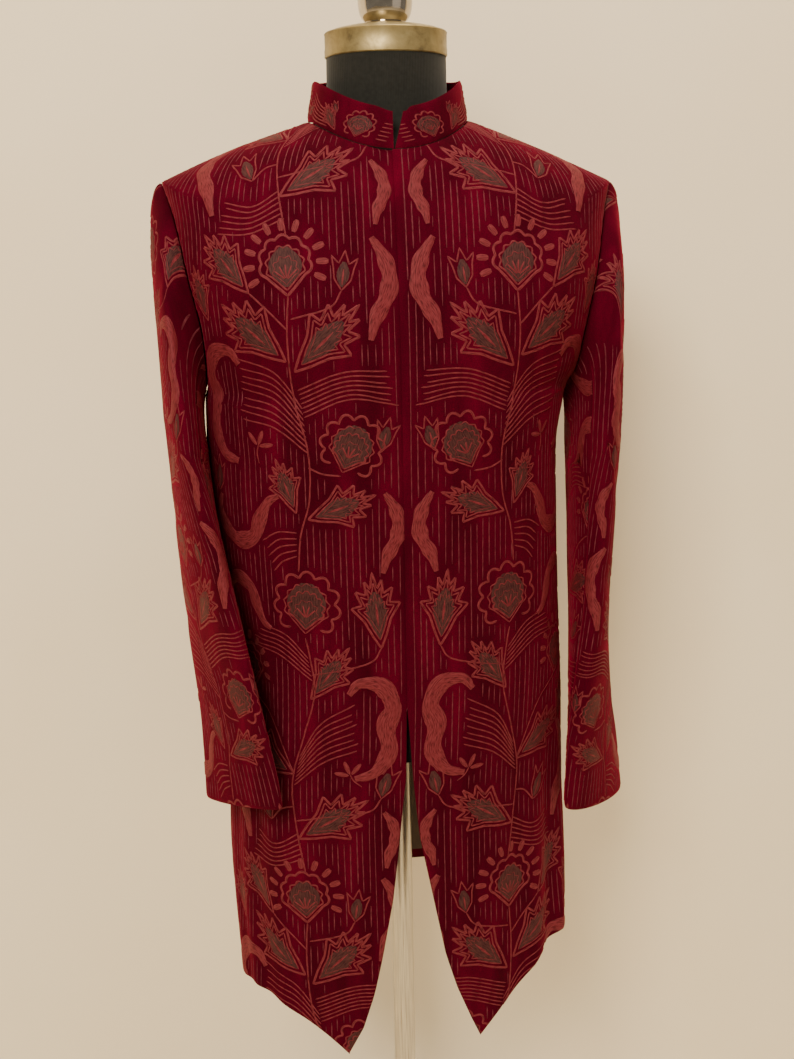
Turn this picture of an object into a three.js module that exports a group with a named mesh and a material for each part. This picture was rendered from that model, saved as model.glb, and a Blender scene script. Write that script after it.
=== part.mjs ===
// A velvet sherwani coat on a limbless dress form. Millimetres, +Z up, the coat's front faces -Y.
// The origin is the middle of the underside of the form's base. The wearer's left is +X.
// The coat is a stack of rows round the body. Each row runs from the centre front (or back) to an end point
// that follows the side seam, then the armhole, then the shoulder seam up to the neck.
import * as THREE from "three";

// ---- driving sizes ------------------------------------------------------------------------------
const CLOTH = 2.2; // velvet, embroidery and interlining together
const LINING = 1.0;
const SEAM_GAP = 0.3; // between pieces that are sewn together
const HALF_SEAM = SEAM_GAP / 2 + 0.05; // each piece's share of it, with a little more for where they turn
const NECK_R = 60; // the form's neck
const NECK_TOP_Z = 1512;
const CAP = { radius: 61.5, height: 24 };
const POLE_R = 12.5;
const BASE = { radius: 205, height: 12, socket: 20 }; // the pole's socket stands on it
const TORSO_BOTTOM_Z = 800;
const VENT_TOP_Z = 783;
const SLIT_TOP_Z = 890; // the fronts are closed above it
// The front edges' x, how far from the middle the lower front lies flat and comes out level with the
// upper one, its extra clearance, and the heights between which the lap starts.
const LAP = { over: -5, under: 10, flat: 8, blend: 34, clear: 0.3, from: 640, to: 760 };
const COLLAR = { rise: 38, frontDrop: 3.5, lean: 7, step: 0.35, slant: 9, ends: 0.93 };
const HANG = { aside: -5, from: 900, to: 720 }; // the skirt hangs a little to the wearer's right
const RAISED_SHOULDER = 5; // the wearer's right shoulder stands this much higher
const RAISED = { from: 70, to: 190, low: 1200, high: 1380 }; // how far out along the shoulder and up it rises

const COLOURS = {
  velvet: 0x5a0616,
  lining: 0x46372d,
  formCloth: 0x232422,
  brass: 0x968759,
  steel: 0xb9b4a8,
};

// ---- tables -------------------------------------------------------------------------------------
// End points of the rows from the hem to the neck, on the wearer's left. "front" and "back" are the
// armhole's distances forward and back of the seam line, zero where the two panels meet. "wide" is how
// much further out the line lies on the wearer's right, where the body fills out under the sleeve.
const SEAM_LINE = [
  { level: 0.0, x: 187, wide: 0, z: 540, front: 0, back: 0 },
  { level: 1.0, x: 188, wide: 0, z: 640, front: 0, back: 0 },
  { level: 2.0, x: 187, wide: 0, z: 740, front: 0, back: 0 },
  { level: 3.0, x: 184, wide: 1, z: 840, front: 0, back: 0 },
  { level: 4.0, x: 178.5, wide: 6, z: 940, front: 0, back: 0 },
  { level: 5.0, x: 175, wide: 20, z: 1040, front: 0, back: 0 },
  { level: 6.0, x: 173.5, wide: 24.5, z: 1120, front: 0, back: 0 },
  { level: 7.0, x: 181, wide: 16, z: 1180, front: 0, back: 0 },
  { level: 7.5, x: 188, wide: 5, z: 1200, front: 40, back: 40 },
  { level: 8.0, x: 195, wide: 0, z: 1248, front: 58, back: 58 },
  { level: 8.5, x: 206, wide: 0, z: 1300, front: 56, back: 55 },
  { level: 9.0, x: 216, wide: 0, z: 1350, front: 38, back: 38 },
  { level: 9.5, x: 229, wide: 0, z: 1391, front: 0, back: 0 },
  { level: 10.0, x: 188, wide: 0, z: 1409, front: 0, back: 0 },
  { level: 10.5, x: 140, wide: 0, z: 1429, front: 0, back: 0 },
  { level: 11.0, x: 81, wide: 0, z: 1452, front: 0, back: 0 },
];
// The middle of each row at the front and at the back. columns: level, z and y at the centre front, how
// much the row climbs beside it, z and y at the centre back, and how square the row's corners are
const MIDDLES = [
  { level: 0.0, zf: 377, yf: -142, climb: 186, zb: 556, yb: 132, square: 0.64 },
  { level: 1.0, zf: 604, yf: -140, climb: 30, zb: 648, yb: 128, square: 0.64 },
  { level: 2.0, zf: 712, yf: -138, climb: 18, zb: 743, yb: 124, square: 0.64 },
  { level: 3.0, zf: 818, yf: -136, climb: 12, zb: 840, yb: 119, square: 0.64 },
  { level: 4.0, zf: 926, yf: -135, climb: 6, zb: 938, yb: 112, square: 0.64 },
  { level: 5.0, zf: 1030, yf: -135, climb: 3, zb: 1038, yb: 107, square: 0.65 },
  { level: 6.0, zf: 1115, yf: -136, climb: 0, zb: 1120, yb: 112, square: 0.66 },
  { level: 7.0, zf: 1172, yf: -137, climb: 0, zb: 1180, yb: 118, square: 0.67 },
  { level: 7.5, zf: 1195, yf: -137, climb: 0, zb: 1208, yb: 120, square: 0.565 },
  { level: 8.0, zf: 1228, yf: -135, climb: 0, zb: 1248, yb: 121, square: 0.52 },
  { level: 8.5, zf: 1264, yf: -131, climb: 0, zb: 1290, yb: 119, square: 0.52 },
  { level: 9.0, zf: 1300, yf: -125, climb: 0, zb: 1330, yb: 114, square: 0.54 },
  { level: 9.5, zf: 1334, yf: -117, climb: 0, zb: 1368, yb: 107, square: 0.58 },
  { level: 10.0, zf: 1362, yf: -110, climb: 0, zb: 1400, yb: 99, square: 0.62 },
  { level: 10.5, zf: 1391, yf: -100, climb: 0, zb: 1430, yb: 89, square: 0.64 },
  { level: 11.0, zf: 1421, yf: -88, climb: 0, zb: 1462, yb: 76, square: 0.6 },
];
// Below the vents the panels' side edges part: how far forward and out the front's edge swings, and how
// far back, out and up the back's does. columns: z, then the offsets of each panel's edge
const VENTS = {
  left: [
    { z: 540, frontY: -48, frontX: -2, frontZ: 32, backY: 72, backX: 30, backZ: 22 },
    { z: 640, frontY: -22, frontX: 0, frontZ: 8, backY: 42, backX: 19, backZ: 6 },
    { z: 740, frontY: -5, frontX: 0, frontZ: 0, backY: 11, backX: 6, backZ: 0 },
    { z: 783, frontY: 0, frontX: 0, frontZ: 0, backY: 0, backX: 0, backZ: 0 },
  ],
  right: [
    { z: 540, frontY: -55, frontX: -4, frontZ: -4, backY: 46, backX: 4, backZ: 18 },
    { z: 640, frontY: -16, frontX: 1, frontZ: 0, backY: 24, backX: 4, backZ: 6 },
    { z: 740, frontY: -4, frontX: 1, frontZ: 0, backY: 5, backX: 2, backZ: 0 },
    { z: 783, frontY: 0, frontX: 0, frontZ: 0, backY: 0, backX: 0, backZ: 0 },
  ],
};
// How far each front's edge has swung away from the middle. columns: z, left edge, right edge
const FRONT_EDGES = [
  { z: 474, left: 78, right: -70 },
  { z: 504, left: 65, right: -54 },
  { z: 545, left: 49, right: -41 },
  { z: 586, left: 37, right: -32 },
  { z: 655, left: 24, right: -19 },
  { z: 724, left: 11, right: -10 },
  { z: 792, left: 3, right: -4 },
  { z: 868, left: -4.5, right: -5 },
  { z: SLIT_TOP_Z, left: LAP.over, right: LAP.under },
];
// Soft folds and hollows in the cloth. Each lies round a line on one piece, deepest at its middle.
// columns: piece, how far round the row (0 centre, 1 side), z of its top and bottom, lean, width, depth
const FOLDS = [
  { piece: "frontLeft", at: 0.6, top: 900, bottom: 470, lean: 0.1, width: 0.13, depth: 9 },
  { piece: "frontLeft", at: 0.8, top: 860, bottom: 500, lean: 0.02, width: 0.1, depth: -4 },
  { piece: "frontLeft", at: 0.36, top: 1010, bottom: 560, lean: 0.06, width: 0.12, depth: 3 },
  { piece: "frontRight", at: 0.72, top: 1060, bottom: 560, lean: -0.1, width: 0.13, depth: 5 },
  { piece: "frontRight", at: 0.45, top: 930, bottom: 480, lean: 0.08, width: 0.14, depth: -3 },
  { piece: "frontRight", at: 0.86, top: 1000, bottom: 700, lean: -0.04, width: 0.1, depth: 4 },
  { piece: "backLeft", at: 0.55, top: 1060, bottom: 560, lean: 0.08, width: 0.14, depth: 6 },
  { piece: "backLeft", at: 0.2, top: 980, bottom: 560, lean: 0.03, width: 0.12, depth: -4 },
  { piece: "backRight", at: 0.42, top: 1020, bottom: 560, lean: -0.05, width: 0.14, depth: 5 },
  { piece: "backRight", at: 0.74, top: 930, bottom: 600, lean: 0.05, width: 0.12, depth: -4 },
];
// Each sleeve's flat tube at heights down the arm, in the sleeve's own side (x outwards). columns: z,
// centre x and y, half width, half thickness, turn in degrees, rise towards the front and outwards
const SLEEVES = {
  left: [
    { z: 1140, x: 212, y: -26, half: 84, thick: 26, turn: 4, rise: 0, out: 22 },
    { z: 1050, x: 210, y: -32, half: 76, thick: 23, turn: 5, rise: 4, out: 6 },
    { z: 945, x: 208, y: -38, half: 71, thick: 21, turn: 9, rise: 6, out: 0 },
    { z: 857, x: 210, y: -41, half: 68, thick: 22, turn: 20, rise: 8, out: 0 },
    { z: 790, x: 214, y: -42, half: 65, thick: 18, turn: 34, rise: 9, out: -2 },
    { z: 712, x: 218, y: -40, half: 63, thick: 15, turn: 43, rise: 9, out: -4 },
  ],
  right: [
    { z: 1140, x: 218, y: -30, half: 85, thick: 21.5, turn: 4, rise: 0, out: 22 },
    { z: 1050, x: 211.5, y: -44, half: 78, thick: 19, turn: 13, rise: 6, out: 6 },
    { z: 945, x: 198.5, y: -63, half: 73, thick: 17, turn: 22, rise: 9, out: 0 },
    { z: 857, x: 186, y: -83, half: 70, thick: 14, turn: 28, rise: 12, out: 0 },
    { z: 800, x: 180, y: -91, half: 67, thick: 13, turn: 34, rise: 14, out: 0 },
    { z: 760, x: 177, y: -97, half: 65, thick: 12, turn: 38, rise: 14, out: 0 },
  ],
};
// The form's torso, rings from its underside to the neck.
// columns: z and y at the front, x and z at the side, z and y at the back, squareness
const TORSO = [
  { zf: 800, yf: -112, x: 158, zs: 800, zb: 800, yb: 96, square: 0.6 },
  { zf: 850, yf: -114, x: 160, zs: 850, zb: 850, yb: 98, square: 0.6 },
  { zf: 940, yf: -110, x: 152, zs: 940, zb: 940, yb: 90, square: 0.6 },
  { zf: 1030, yf: -112, x: 150, zs: 1030, zb: 1030, yb: 84, square: 0.6 },
  { zf: 1110, yf: -122, x: 160, zs: 1110, zb: 1110, yb: 96, square: 0.62 },
  { zf: 1170, yf: -126, x: 172, zs: 1180, zb: 1180, yb: 108, square: 0.64 },
  { zf: 1228, yf: -125, x: 180, zs: 1250, zb: 1248, yb: 111, square: 0.6 },
  { zf: 1264, yf: -121, x: 186, zs: 1306, zb: 1290, yb: 109, square: 0.56 },
  { zf: 1300, yf: -115, x: 190, zs: 1350, zb: 1330, yb: 104, square: 0.54 },
  { zf: 1330, yf: -107, x: 192, zs: 1386, zb: 1364, yb: 95, square: 0.54 },
  { zf: 1352, yf: -101, x: 184, zs: 1406.3, zb: 1386, yb: 88, square: 0.58 },
  { zf: 1380, yf: -91, x: 140, zs: 1425.8, zb: 1416, yb: 75, square: 0.6 },
  { zf: 1404, yf: -78, x: 100, zs: 1439.5, zb: 1436, yb: 66, square: 0.58 },
  { zf: 1424, yf: -68, x: 74, zs: 1449, zb: 1452, yb: 61, square: 0.56 },
  { zf: 1444, yf: -61, x: 62, zs: 1466, zb: 1470, yb: 60, square: 0.5523 },
  { zf: NECK_TOP_Z, yf: -NECK_R, x: NECK_R, zs: NECK_TOP_Z, zb: NECK_TOP_Z, yb: NECK_R, square: 0.5523 },
];

// ---- curves -------------------------------------------------------------------------------------
const vec = (x, y, z) => new THREE.Vector3(x, y, z);
const mix = (a, b, t) => a + (b - a) * t;
const smooth = (t) => THREE.MathUtils.smoothstep(t, 0, 1);

// A value between the rows of a table, rounded through the rows where "curved", straight otherwise.
function between(table, key, at, column, curved = true) {
  const down = table[0][key] > table[table.length - 1][key];
  const rows = down ? [...table].reverse() : table;
  if (at <= rows[0][key]) return rows[0][column];
  const next = rows.findIndex((r) => r[key] >= at);
  if (next < 0) return rows[rows.length - 1][column];
  const [a, b] = [rows[next - 1], rows[next]];
  const t = (at - a[key]) / (b[key] - a[key]);
  if (!curved) return mix(a[column], b[column], t);
  const before = rows[next - 2] ?? a;
  const after = rows[next + 1] ?? b;
  const slope = (p, q) => (q[column] - p[column]) / (q[key] - p[key] || 1);
  const step = b[key] - a[key];
  const [m0, m1] = [slope(before, b) * step, slope(a, after) * step];
  const [t2, t3] = [t * t, t * t * t];
  const bent = (t3 - 2 * t2 + t) * m0 + (t3 - t2) * m1;
  return mix(a[column], b[column], 3 * t2 - 2 * t3) + bent;
}
const ARMPIT = 7;
const SHOULDER = 9.5;
const NECK = 11;
// Straight between rows where the seam line turns a corner, curved elsewhere.
const seamPart = (level) => {
  if (level <= ARMPIT) return SEAM_LINE.filter((r) => r.level <= ARMPIT);
  if (level <= SHOULDER) return SEAM_LINE.filter((r) => r.level >= ARMPIT && r.level <= SHOULDER);
  return SEAM_LINE.filter((r) => r.level >= SHOULDER);
};
const middle = (level, column) => between(MIDDLES, "level", level, column);

function bezier(p0, p1, p2, p3, t) {
  const s = 1 - t;
  return vec(0, 0, 0)
    .addScaledVector(p0, s * s * s)
    .addScaledVector(p1, 3 * s * s * t)
    .addScaledVector(p2, 3 * s * t * t)
    .addScaledVector(p3, t * t * t);
}

// The end of a panel's row: the side seam, vent edge, armhole or shoulder seam. face is -1 front, 1 back.
const rowEnd = (level, side, face) => settled(plainEnd(level, side, face), level);
function plainEnd(level, side, face) {
  const part = seamPart(level);
  const end = vec(between(part, "level", level, "x"), 0, between(part, "level", level, "z"));
  if (side < 0) end.x += between(part, "level", level, "wide");
  end.y = face * between(part, "level", level, face < 0 ? "front" : "back");
  if (end.z < VENT_TOP_Z) {
    const vent = VENTS[side > 0 ? "left" : "right"];
    const panel = face < 0 ? "front" : "back";
    const z = end.z;
    end.x += between(vent, "z", z, panel + "X");
    end.y += between(vent, "z", z, panel + "Y");
    end.z += between(vent, "z", z, panel + "Z");
  }
  end.x *= side;
  return end;
}
// The skirt hangs to one side, and one shoulder stands higher.
function settled(point, level) {
  point.x += HANG.aside * THREE.MathUtils.smoothstep(HANG.from - point.z, 0, HANG.from - HANG.to);
  const outward = THREE.MathUtils.smoothstep(-point.x, RAISED.from, RAISED.to);
  point.z += RAISED_SHOULDER * outward * THREE.MathUtils.smoothstep(level, ARMPIT, SHOULDER);
  return point;
}

const FOLD_FULL = 0.62; // the share of a fold's length after which it is at its full depth
function foldDepth(piece, at, z) {
  let depth = 0;
  for (const f of FOLDS) {
    if (f.piece !== piece || z > f.top) continue;
    const along = Math.min(1, (f.top - z) / (f.top - f.bottom));
    const across = (at - f.at - f.lean * along) / f.width;
    const full = Math.sin((Math.min(along / FOLD_FULL, 1) * Math.PI) / 2);
    depth += f.depth * full * Math.exp(-across * across * 2);
  }
  return depth;
}

const ARMHOLE_PULL = 0.31; // how far back a row that an armhole cuts is straight
const ARMHOLE_SLANT = 0.45; // and its slant outwards there
const ARMHOLE_DEPTH = 50; // from the shoulder seam, where the armhole cuts a row fully
const FOLD_EDGE = 0.08; // the share of a row beside its end seam that folds leave flat
// A point on the coat's outer face: at runs from 0 at the middle to 1 at the row's end, below 0 across
// the middle.
function coatPoint(level, at, side, face) {
  const z = middle(level, face < 0 ? "zf" : "zb");
  const y = middle(level, face < 0 ? "yf" : "yb");
  const square = middle(level, "square");
  const end = plainEnd(level, side, face);
  const cut = THREE.MathUtils.smoothstep(Math.abs(end.y), 0, ARMHOLE_DEPTH) * (level > ARMPIT ? 1 : 0);
  const reach = mix(Math.abs(y - end.y) * square, Math.hypot(end.x, y - end.y) * ARMHOLE_PULL, cut);
  const arrives = vec(side * ARMHOLE_SLANT * cut, -face, 0).setLength(reach); // the way the row meets its end
  const p0 = vec(0, y, z);
  const p1 = vec(end.x * square, y, z + (face < 0 ? middle(level, "climb") : 0));
  const p2 = end.clone().sub(arrives);
  const across = Math.abs(at);
  const point = bezier(p0, p1, p2, end, across);
  if (at < 0) point.x = -point.x;
  const piece = (face < 0 ? "front" : "back") + (side > 0 ? "Left" : "Right");
  const depth = foldDepth(piece, across, point.z) * smooth((1 - across) / FOLD_EDGE);
  const away = vec(point.x * 0.5, point.y, 0).normalize();
  return settled(point.addScaledVector(away, -depth), level);
}

// The direction square to the cloth where two pieces are sewn, shared so that their edges lie face to face.
function seamNormal(level, side) {
  const step = 0.02;
  const top = Math.min(level + step, NECK);
  const run = rowEnd(top, 1, -1).setY(0).sub(rowEnd(top - 2 * step, 1, -1).setY(0));
  const normal = vec(0, 1, 0).cross(run).normalize();
  normal.x *= side;
  return normal;
}
const ARMHOLE_MIDDLE_Z = 1288;
const ARMHOLE_FACES = { middle: 0.16, head: 0.36, underarm: 0 }; // how much the seam there faces outwards
function armholeNormal(point, side) {
  const round = vec(0, point.y, point.z - ARMHOLE_MIDDLE_Z).normalize();
  const end = round.z > 0 ? ARMHOLE_FACES.head : ARMHOLE_FACES.underarm;
  round.x = side * mix(ARMHOLE_FACES.middle, end, Math.abs(round.z));
  return round.normalize();
}

// ---- walls --------------------------------------------------------------------------------------
// A grid's points moved in square to the cloth, and the closed wall between the two.
function innerFace(grid, depth, normals = {}) {
  const rows = grid.length;
  const cols = grid[0].length;
  const at = (i, j) => grid[i][Math.min(Math.max(j, 0), cols - 1)];
  return grid.map((row, i) =>
    row.map((point, j) => {
      const given = normals[i + "," + j];
      const down = at(Math.max(i - 1, 0), j);
      const up = at(Math.min(i + 1, rows - 1), j);
      const across = at(i, j + 1).clone().sub(at(i, j - 1));
      const normal = given ?? across.cross(up.clone().sub(down)).normalize();
      return point.clone().addScaledVector(normal, -depth);
    }),
  );
}
function wall(name, grid, thickness, colour, normals = {}) {
  const rows = grid.length;
  const cols = grid[0].length;
  const inner = innerFace(grid, thickness, normals);
  const points = [...grid.flat(), ...inner.flat()];
  const faces = [];
  const outerAt = (i, j) => i * cols + j;
  const innerAt = (i, j) => rows * cols + outerAt(i, j);
  const quad = (a, b, c, d) => faces.push([a, b, c], [a, c, d]);
  const spans = cols - 1;
  for (let i = 0; i < rows - 1; i++)
    for (let j = 0; j < spans; j++) {
      quad(outerAt(i, j), outerAt(i, j + 1), outerAt(i + 1, j + 1), outerAt(i + 1, j));
      quad(innerAt(i, j), innerAt(i + 1, j), innerAt(i + 1, j + 1), innerAt(i, j + 1));
    }
  for (let j = 0; j < spans; j++) {
    quad(innerAt(0, j), innerAt(0, j + 1), outerAt(0, j + 1), outerAt(0, j));
    const top = rows - 1;
    quad(outerAt(top, j), outerAt(top, j + 1), innerAt(top, j + 1), innerAt(top, j));
  }
  for (let i = 0; i < rows - 1; i++) {
    quad(innerAt(i, 0), outerAt(i, 0), outerAt(i + 1, 0), innerAt(i + 1, 0));
    quad(outerAt(i, spans), innerAt(i, spans), innerAt(i + 1, spans), outerAt(i + 1, spans));
  }
  return meshOf(name, points, faces, colour, 0.9, 0);
}

function meshOf(name, points, faces, colour, roughness, metalness) {
  const geometry = new THREE.BufferGeometry();
  const flat = points.flatMap((p) => [p.x, p.y, p.z]);
  geometry.setAttribute("position", new THREE.Float32BufferAttribute(flat, 3));
  geometry.setIndex(faces.flat());
  geometry.computeVertexNormals();
  const material = new THREE.MeshStandardMaterial({ color: colour, roughness, metalness });
  const mesh = new THREE.Mesh(geometry, material);
  mesh.name = name;
  return mesh;
}

// ---- the body of the coat -----------------------------------------------------------------------
const LEVELS = [0, 0.5, 1, 1.6, 2.2, 2.8, 3.5, 4.2, 4.9, 5.6, 6.3, 7];
const ARM_LEVELS = [7.2, 7.45, 7.75, 8.05, 8.4, 8.75, 9.05, 9.3];
const YOKE_LEVELS = [9.5, 9.8, 10.2, 10.6, 11];
const ROWS = [...LEVELS, ...ARM_LEVELS, ...YOKE_LEVELS];
const VENT_EASE = 30; // below the vent's top the two edges still face each other
const sewn = (level, z) => (level > ARMPIT && level < SHOULDER ? false : z > VENT_TOP_Z - VENT_EASE);

// Moves a row's last point off its seam by half the gap, towards its own panel.
const heldBack = (point, toward) => point.clone().addScaledVector(toward, HALF_SEAM);

function front(name, side, columns) {
  const under = side < 0;
  const normals = {};
  const grid = ROWS.map((level, i) => {
    const start = frontEdge(level, side);
    const row = [];
    for (let j = 0; j <= columns; j++) {
      const at = mix(start, 1, j / columns);
      const point = coatPoint(level, at, side, -1);
      if (under) {
        const tucked = 1 - THREE.MathUtils.smoothstep(-offMiddle(point, level), LAP.flat, LAP.blend);
        const lapped = tucked * THREE.MathUtils.smoothstep(point.z, LAP.from, LAP.to);
        point.addScaledVector(middleInward(level), (CLOTH + SEAM_GAP + LAP.clear) * lapped);
      }
      row.push(point);
    }
    if (side < 0) row.reverse(); // both fronts run towards the wearer's left
    const j = side > 0 ? columns : 0;
    const end = row[j];
    const armhole = level > ARMPIT && level < SHOULDER;
    if (!armhole) row[j] = heldBack(end, vec(0, -1, 0));
    if (sewn(level, end.z)) normals[i + "," + j] = seamNormal(level, side);
    if (level >= ARMPIT && level <= SHOULDER) normals[i + "," + j] = armholeNormal(end, side);
    if (level === SHOULDER) normals[i + "," + j] = seamNormal(level, side);
    return row;
  });
  grid[grid.length - 1].forEach((point, j) => (normals[grid.length - 1 + "," + j] = neckNormal(point)));
  return wall(name, grid, CLOTH, COLOURS.velvet, normals);
}
// Square to the cloth, inwards, on the centre front line.
function middleInward(level) {
  const low = Math.max(0, level - 0.1);
  const high = Math.min(NECK, level + 0.1);
  const rise = middle(high, "zf") - middle(low, "zf");
  return vec(0, rise, middle(low, "yf") - middle(high, "yf")).normalize();
}
// How far to the left of the coat's own middle a point lies.
const offMiddle = (point, level) => point.x - settled(vec(0, point.y, point.z), level).x;
// How far along its row a front's edge lies.
function frontEdge(level, side) {
  let low = -0.2;
  let high = 0.8;
  for (let n = 0; n < 30; n++) {
    const guess = (low + high) / 2;
    const point = coatPoint(level, guess, side, -1);
    const edge = between(FRONT_EDGES, "z", point.z, side > 0 ? "left" : "right", false);
    if (side * (offMiddle(point, level) - edge) < 0) low = guess;
    else high = guess;
  }
  return (low + high) / 2;
}
const NECK_SLANT = 0.36; // how much the neck seam faces up
const neckNormal = (point) => vec(point.x, point.y, 0).normalize().setZ(NECK_SLANT).normalize();

function backPoint(level, share) {
  return coatPoint(level, Math.abs(share), share < 0 ? -1 : 1, 1);
}
function backGrid(columns) {
  const normals = {};
  const grid = ROWS.map((level, i) => {
    const row = [];
    for (let j = 0; j <= columns; j++) row.push(backPoint(level, 1 - (2 * j) / columns));
    for (const j of [0, columns]) {
      const side = j ? -1 : 1;
      const armhole = level > ARMPIT && level < SHOULDER;
      if (!armhole) row[j] = heldBack(row[j], vec(0, 1, 0));
      if (sewn(level, row[j].z)) normals[i + "," + j] = seamNormal(level, side);
      if (level >= ARMPIT && level <= SHOULDER) normals[i + "," + j] = armholeNormal(row[j], side);
      if (level === SHOULDER) normals[i + "," + j] = seamNormal(level, side);
    }
    return row;
  });
  grid[grid.length - 1].forEach((point, j) => (normals[grid.length - 1 + "," + j] = neckNormal(point)));
  return { grid, normals };
}
// The lining lies inside the back up to the armholes, and stops short of its edges, where the velvet is
// turned in.
function backAndLining(columns) {
  const { grid, normals } = backGrid(columns);
  const under = innerFace(grid, CLOTH, normals);
  const turnedIn = 0.4; // of the outermost column, and of the lowest row
  const trimmed = under.slice(0, LEVELS.length - 1).map((row) => {
    const short = [...row];
    short[0] = row[0].clone().lerp(row[1], turnedIn);
    short[columns] = row[columns].clone().lerp(row[columns - 1], turnedIn);
    return short;
  });
  trimmed[0] = trimmed[0].map((point, j) => point.clone().lerp(trimmed[1][j], turnedIn / 2));
  const lining = innerFace(trimmed, SEAM_GAP * 1.5);
  return [
    wall("back", grid, CLOTH, COLOURS.velvet, normals),
    wall("back_lining", lining, LINING, COLOURS.lining),
  ];
}

// ---- collar -------------------------------------------------------------------------------------
// The neckline's share runs from 1 at the left front's edge, through 0 at the centre back, to -1 at the
// right front's edge.
const COLLAR_ENDS = { left: -0.015, right: 0.023 };
function neckline(share) {
  const turn = Math.abs(share);
  const side = share < 0 ? -1 : 1;
  const last = side > 0 ? COLLAR_ENDS.left : COLLAR_ENDS.right;
  if (turn > 0.5) return coatPoint(NECK, mix(1, last, (turn - 0.5) * 2), side, -1);
  return coatPoint(NECK, turn * 2, side, 1);
}
function collar(columns) {
  const heights = [0, 0.33, 0.66, 1];
  const normals = {};
  const grid = heights.map((height, i) => {
    const row = [];
    for (let j = 0; j <= columns; j++) {
      const share = 1 - (2 * j) / columns;
      const point = neckline(share);
      if (i === 0) normals[i + "," + j] = neckNormal(point);
      const out = vec(point.x, point.y, 0).normalize();
      const nearEnd = THREE.MathUtils.smoothstep(Math.abs(share), COLLAR.ends, 1);
      point.z += COLLAR.step + height * (COLLAR.rise - COLLAR.frontDrop * nearEnd);
      point.addScaledVector(out, -COLLAR.lean * height);
      if (share > 0) point.x += COLLAR.slant * nearEnd * height; // the left end slants away
      row.push(point);
    }
    return row;
  });
  return wall("collar", grid, CLOTH, COLOURS.velvet, normals);
}

// ---- sleeves ------------------------------------------------------------------------------------
// turn is 0 at the underarm, a quarter at the front, a half on the outside and three quarters at the back.
function armholeAt(turn, side) {
  const face = turn < 0.5 ? -1 : 1;
  const climb = turn < 0.5 ? turn * 2 : (1 - turn) * 2;
  const level = mix(ARMPIT, SHOULDER, climb);
  return rowEnd(level, side, face);
}
function sleeveRing(station, turn, side) {
  const angle = turn * 2 * Math.PI;
  const flat = Math.sin(angle) * station.half; // towards the front
  const deep = -Math.cos(angle) * station.thick; // outwards
  const yaw = THREE.MathUtils.degToRad(station.turn);
  const x = station.x + deep * Math.cos(yaw) - flat * Math.sin(yaw);
  const y = station.y - flat * Math.cos(yaw) - deep * Math.sin(yaw);
  const z = station.z + station.rise * Math.sin(angle) - station.out * Math.cos(angle);
  return vec(side * x, y, z);
}
// The way a sleeve leaves its armhole, how far it keeps that way, and how far above its first section it
// already hangs straight: at the head, at the underarm and between them.
const ARMHOLE_LEAVES = {
  out: { head: 0.95, underarm: 0.35, between: 0.9 },
  down: { head: 0.1, underarm: 0.85, between: 0.35 },
  length: { head: 25, underarm: 22, between: 34 },
  forward: 0.5,
};
const HANGS_FROM = { head: 112, underarm: 22, between: 66 };
function sleevePoint(side, down, turn) {
  const stations = SLEEVES[side > 0 ? "left" : "right"];
  const first = stations[0];
  if (down >= 1) {
    const z = mix(first.z, stations[stations.length - 1].z, down - 1);
    const at = { z };
    for (const column of ["x", "y", "half", "thick", "turn", "rise", "out"])
      at[column] = between(stations, "z", z, column);
    return sleeveRing(at, turn, side);
  }
  const start = armholeAt(turn, side).add(vec(side * 2 * HALF_SEAM, 0, 0));
  const end = sleeveRing(first, turn, side);
  const top = Math.max(0, -Math.cos(turn * 2 * Math.PI)); // 1 at the head of the sleeve
  const under = Math.max(0, Math.cos(turn * 2 * Math.PI));
  const waist = 1 - top - under;
  const blend = (row) => row.head * top + row.underarm * under + row.between * waist;
  const { out, down: drop, length, forward } = ARMHOLE_LEAVES;
  const towardFront = Math.sin(turn * 2 * Math.PI);
  const leaves = vec(side * blend(out), -forward * towardFront, -blend(drop));
  const p1 = start.clone().addScaledVector(leaves, blend(length));
  const p2 = end.clone().add(vec(0, 0, blend(HANGS_FROM)));
  return bezier(start, p1, p2, end, down);
}
const DOWNS = [0, 0.06, 0.14, 0.25, 0.4, 0.6, 0.8, 1, 1.11, 1.23, 1.35, 1.47, 1.59, 1.7, 1.8, 1.9, 2];
// The sleeve's points leave the armhole where the panels' rows end, so that the sewn edges match.
const CLIMBS = [ARMPIT, ...ARM_LEVELS, SHOULDER].map((level) => (level - ARMPIT) / (SHOULDER - ARMPIT) / 2);
const TURNS = [...CLIMBS, ...CLIMBS.slice(1, -1).reverse().map((turn) => 1 - turn)];
const SPLIT = 3; // the top and under pieces meet this many points from the underarm
function sleeve(name, side, firstTurn, count) {
  const normals = {};
  const last = DOWNS.length - 1;
  const grid = DOWNS.map((down, i) => {
    const turns = Array.from({ length: count + 1 }, (_, j) => TURNS[(firstTurn + j) % TURNS.length]);
    const row = turns.map((turn) => sleevePoint(side, down, turn));
    row[0].addScaledVector(tubeAround(side, down, turns[0]), HALF_SEAM);
    row[count].addScaledVector(tubeAround(side, down, turns[count]), -HALF_SEAM);
    turns.forEach((turn, j) => {
      const column = side < 0 ? count - j : j;
      if (i === 0) normals[last + "," + column] = armholeNormal(armholeAt(turn, side), side);
      else if (j === 0 || j === count) normals[last - i + "," + column] = tubeNormal(side, down, turn);
    });
    return side < 0 ? row.reverse() : row;
  });
  return wall(name, grid.reverse(), CLOTH, COLOURS.velvet, normals);
}
function tubeAround(side, down, turn) {
  const step = 0.01;
  return sleevePoint(side, down, (turn + step) % 1)
    .sub(sleevePoint(side, down, (turn + 1 - step) % 1))
    .normalize();
}
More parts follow.
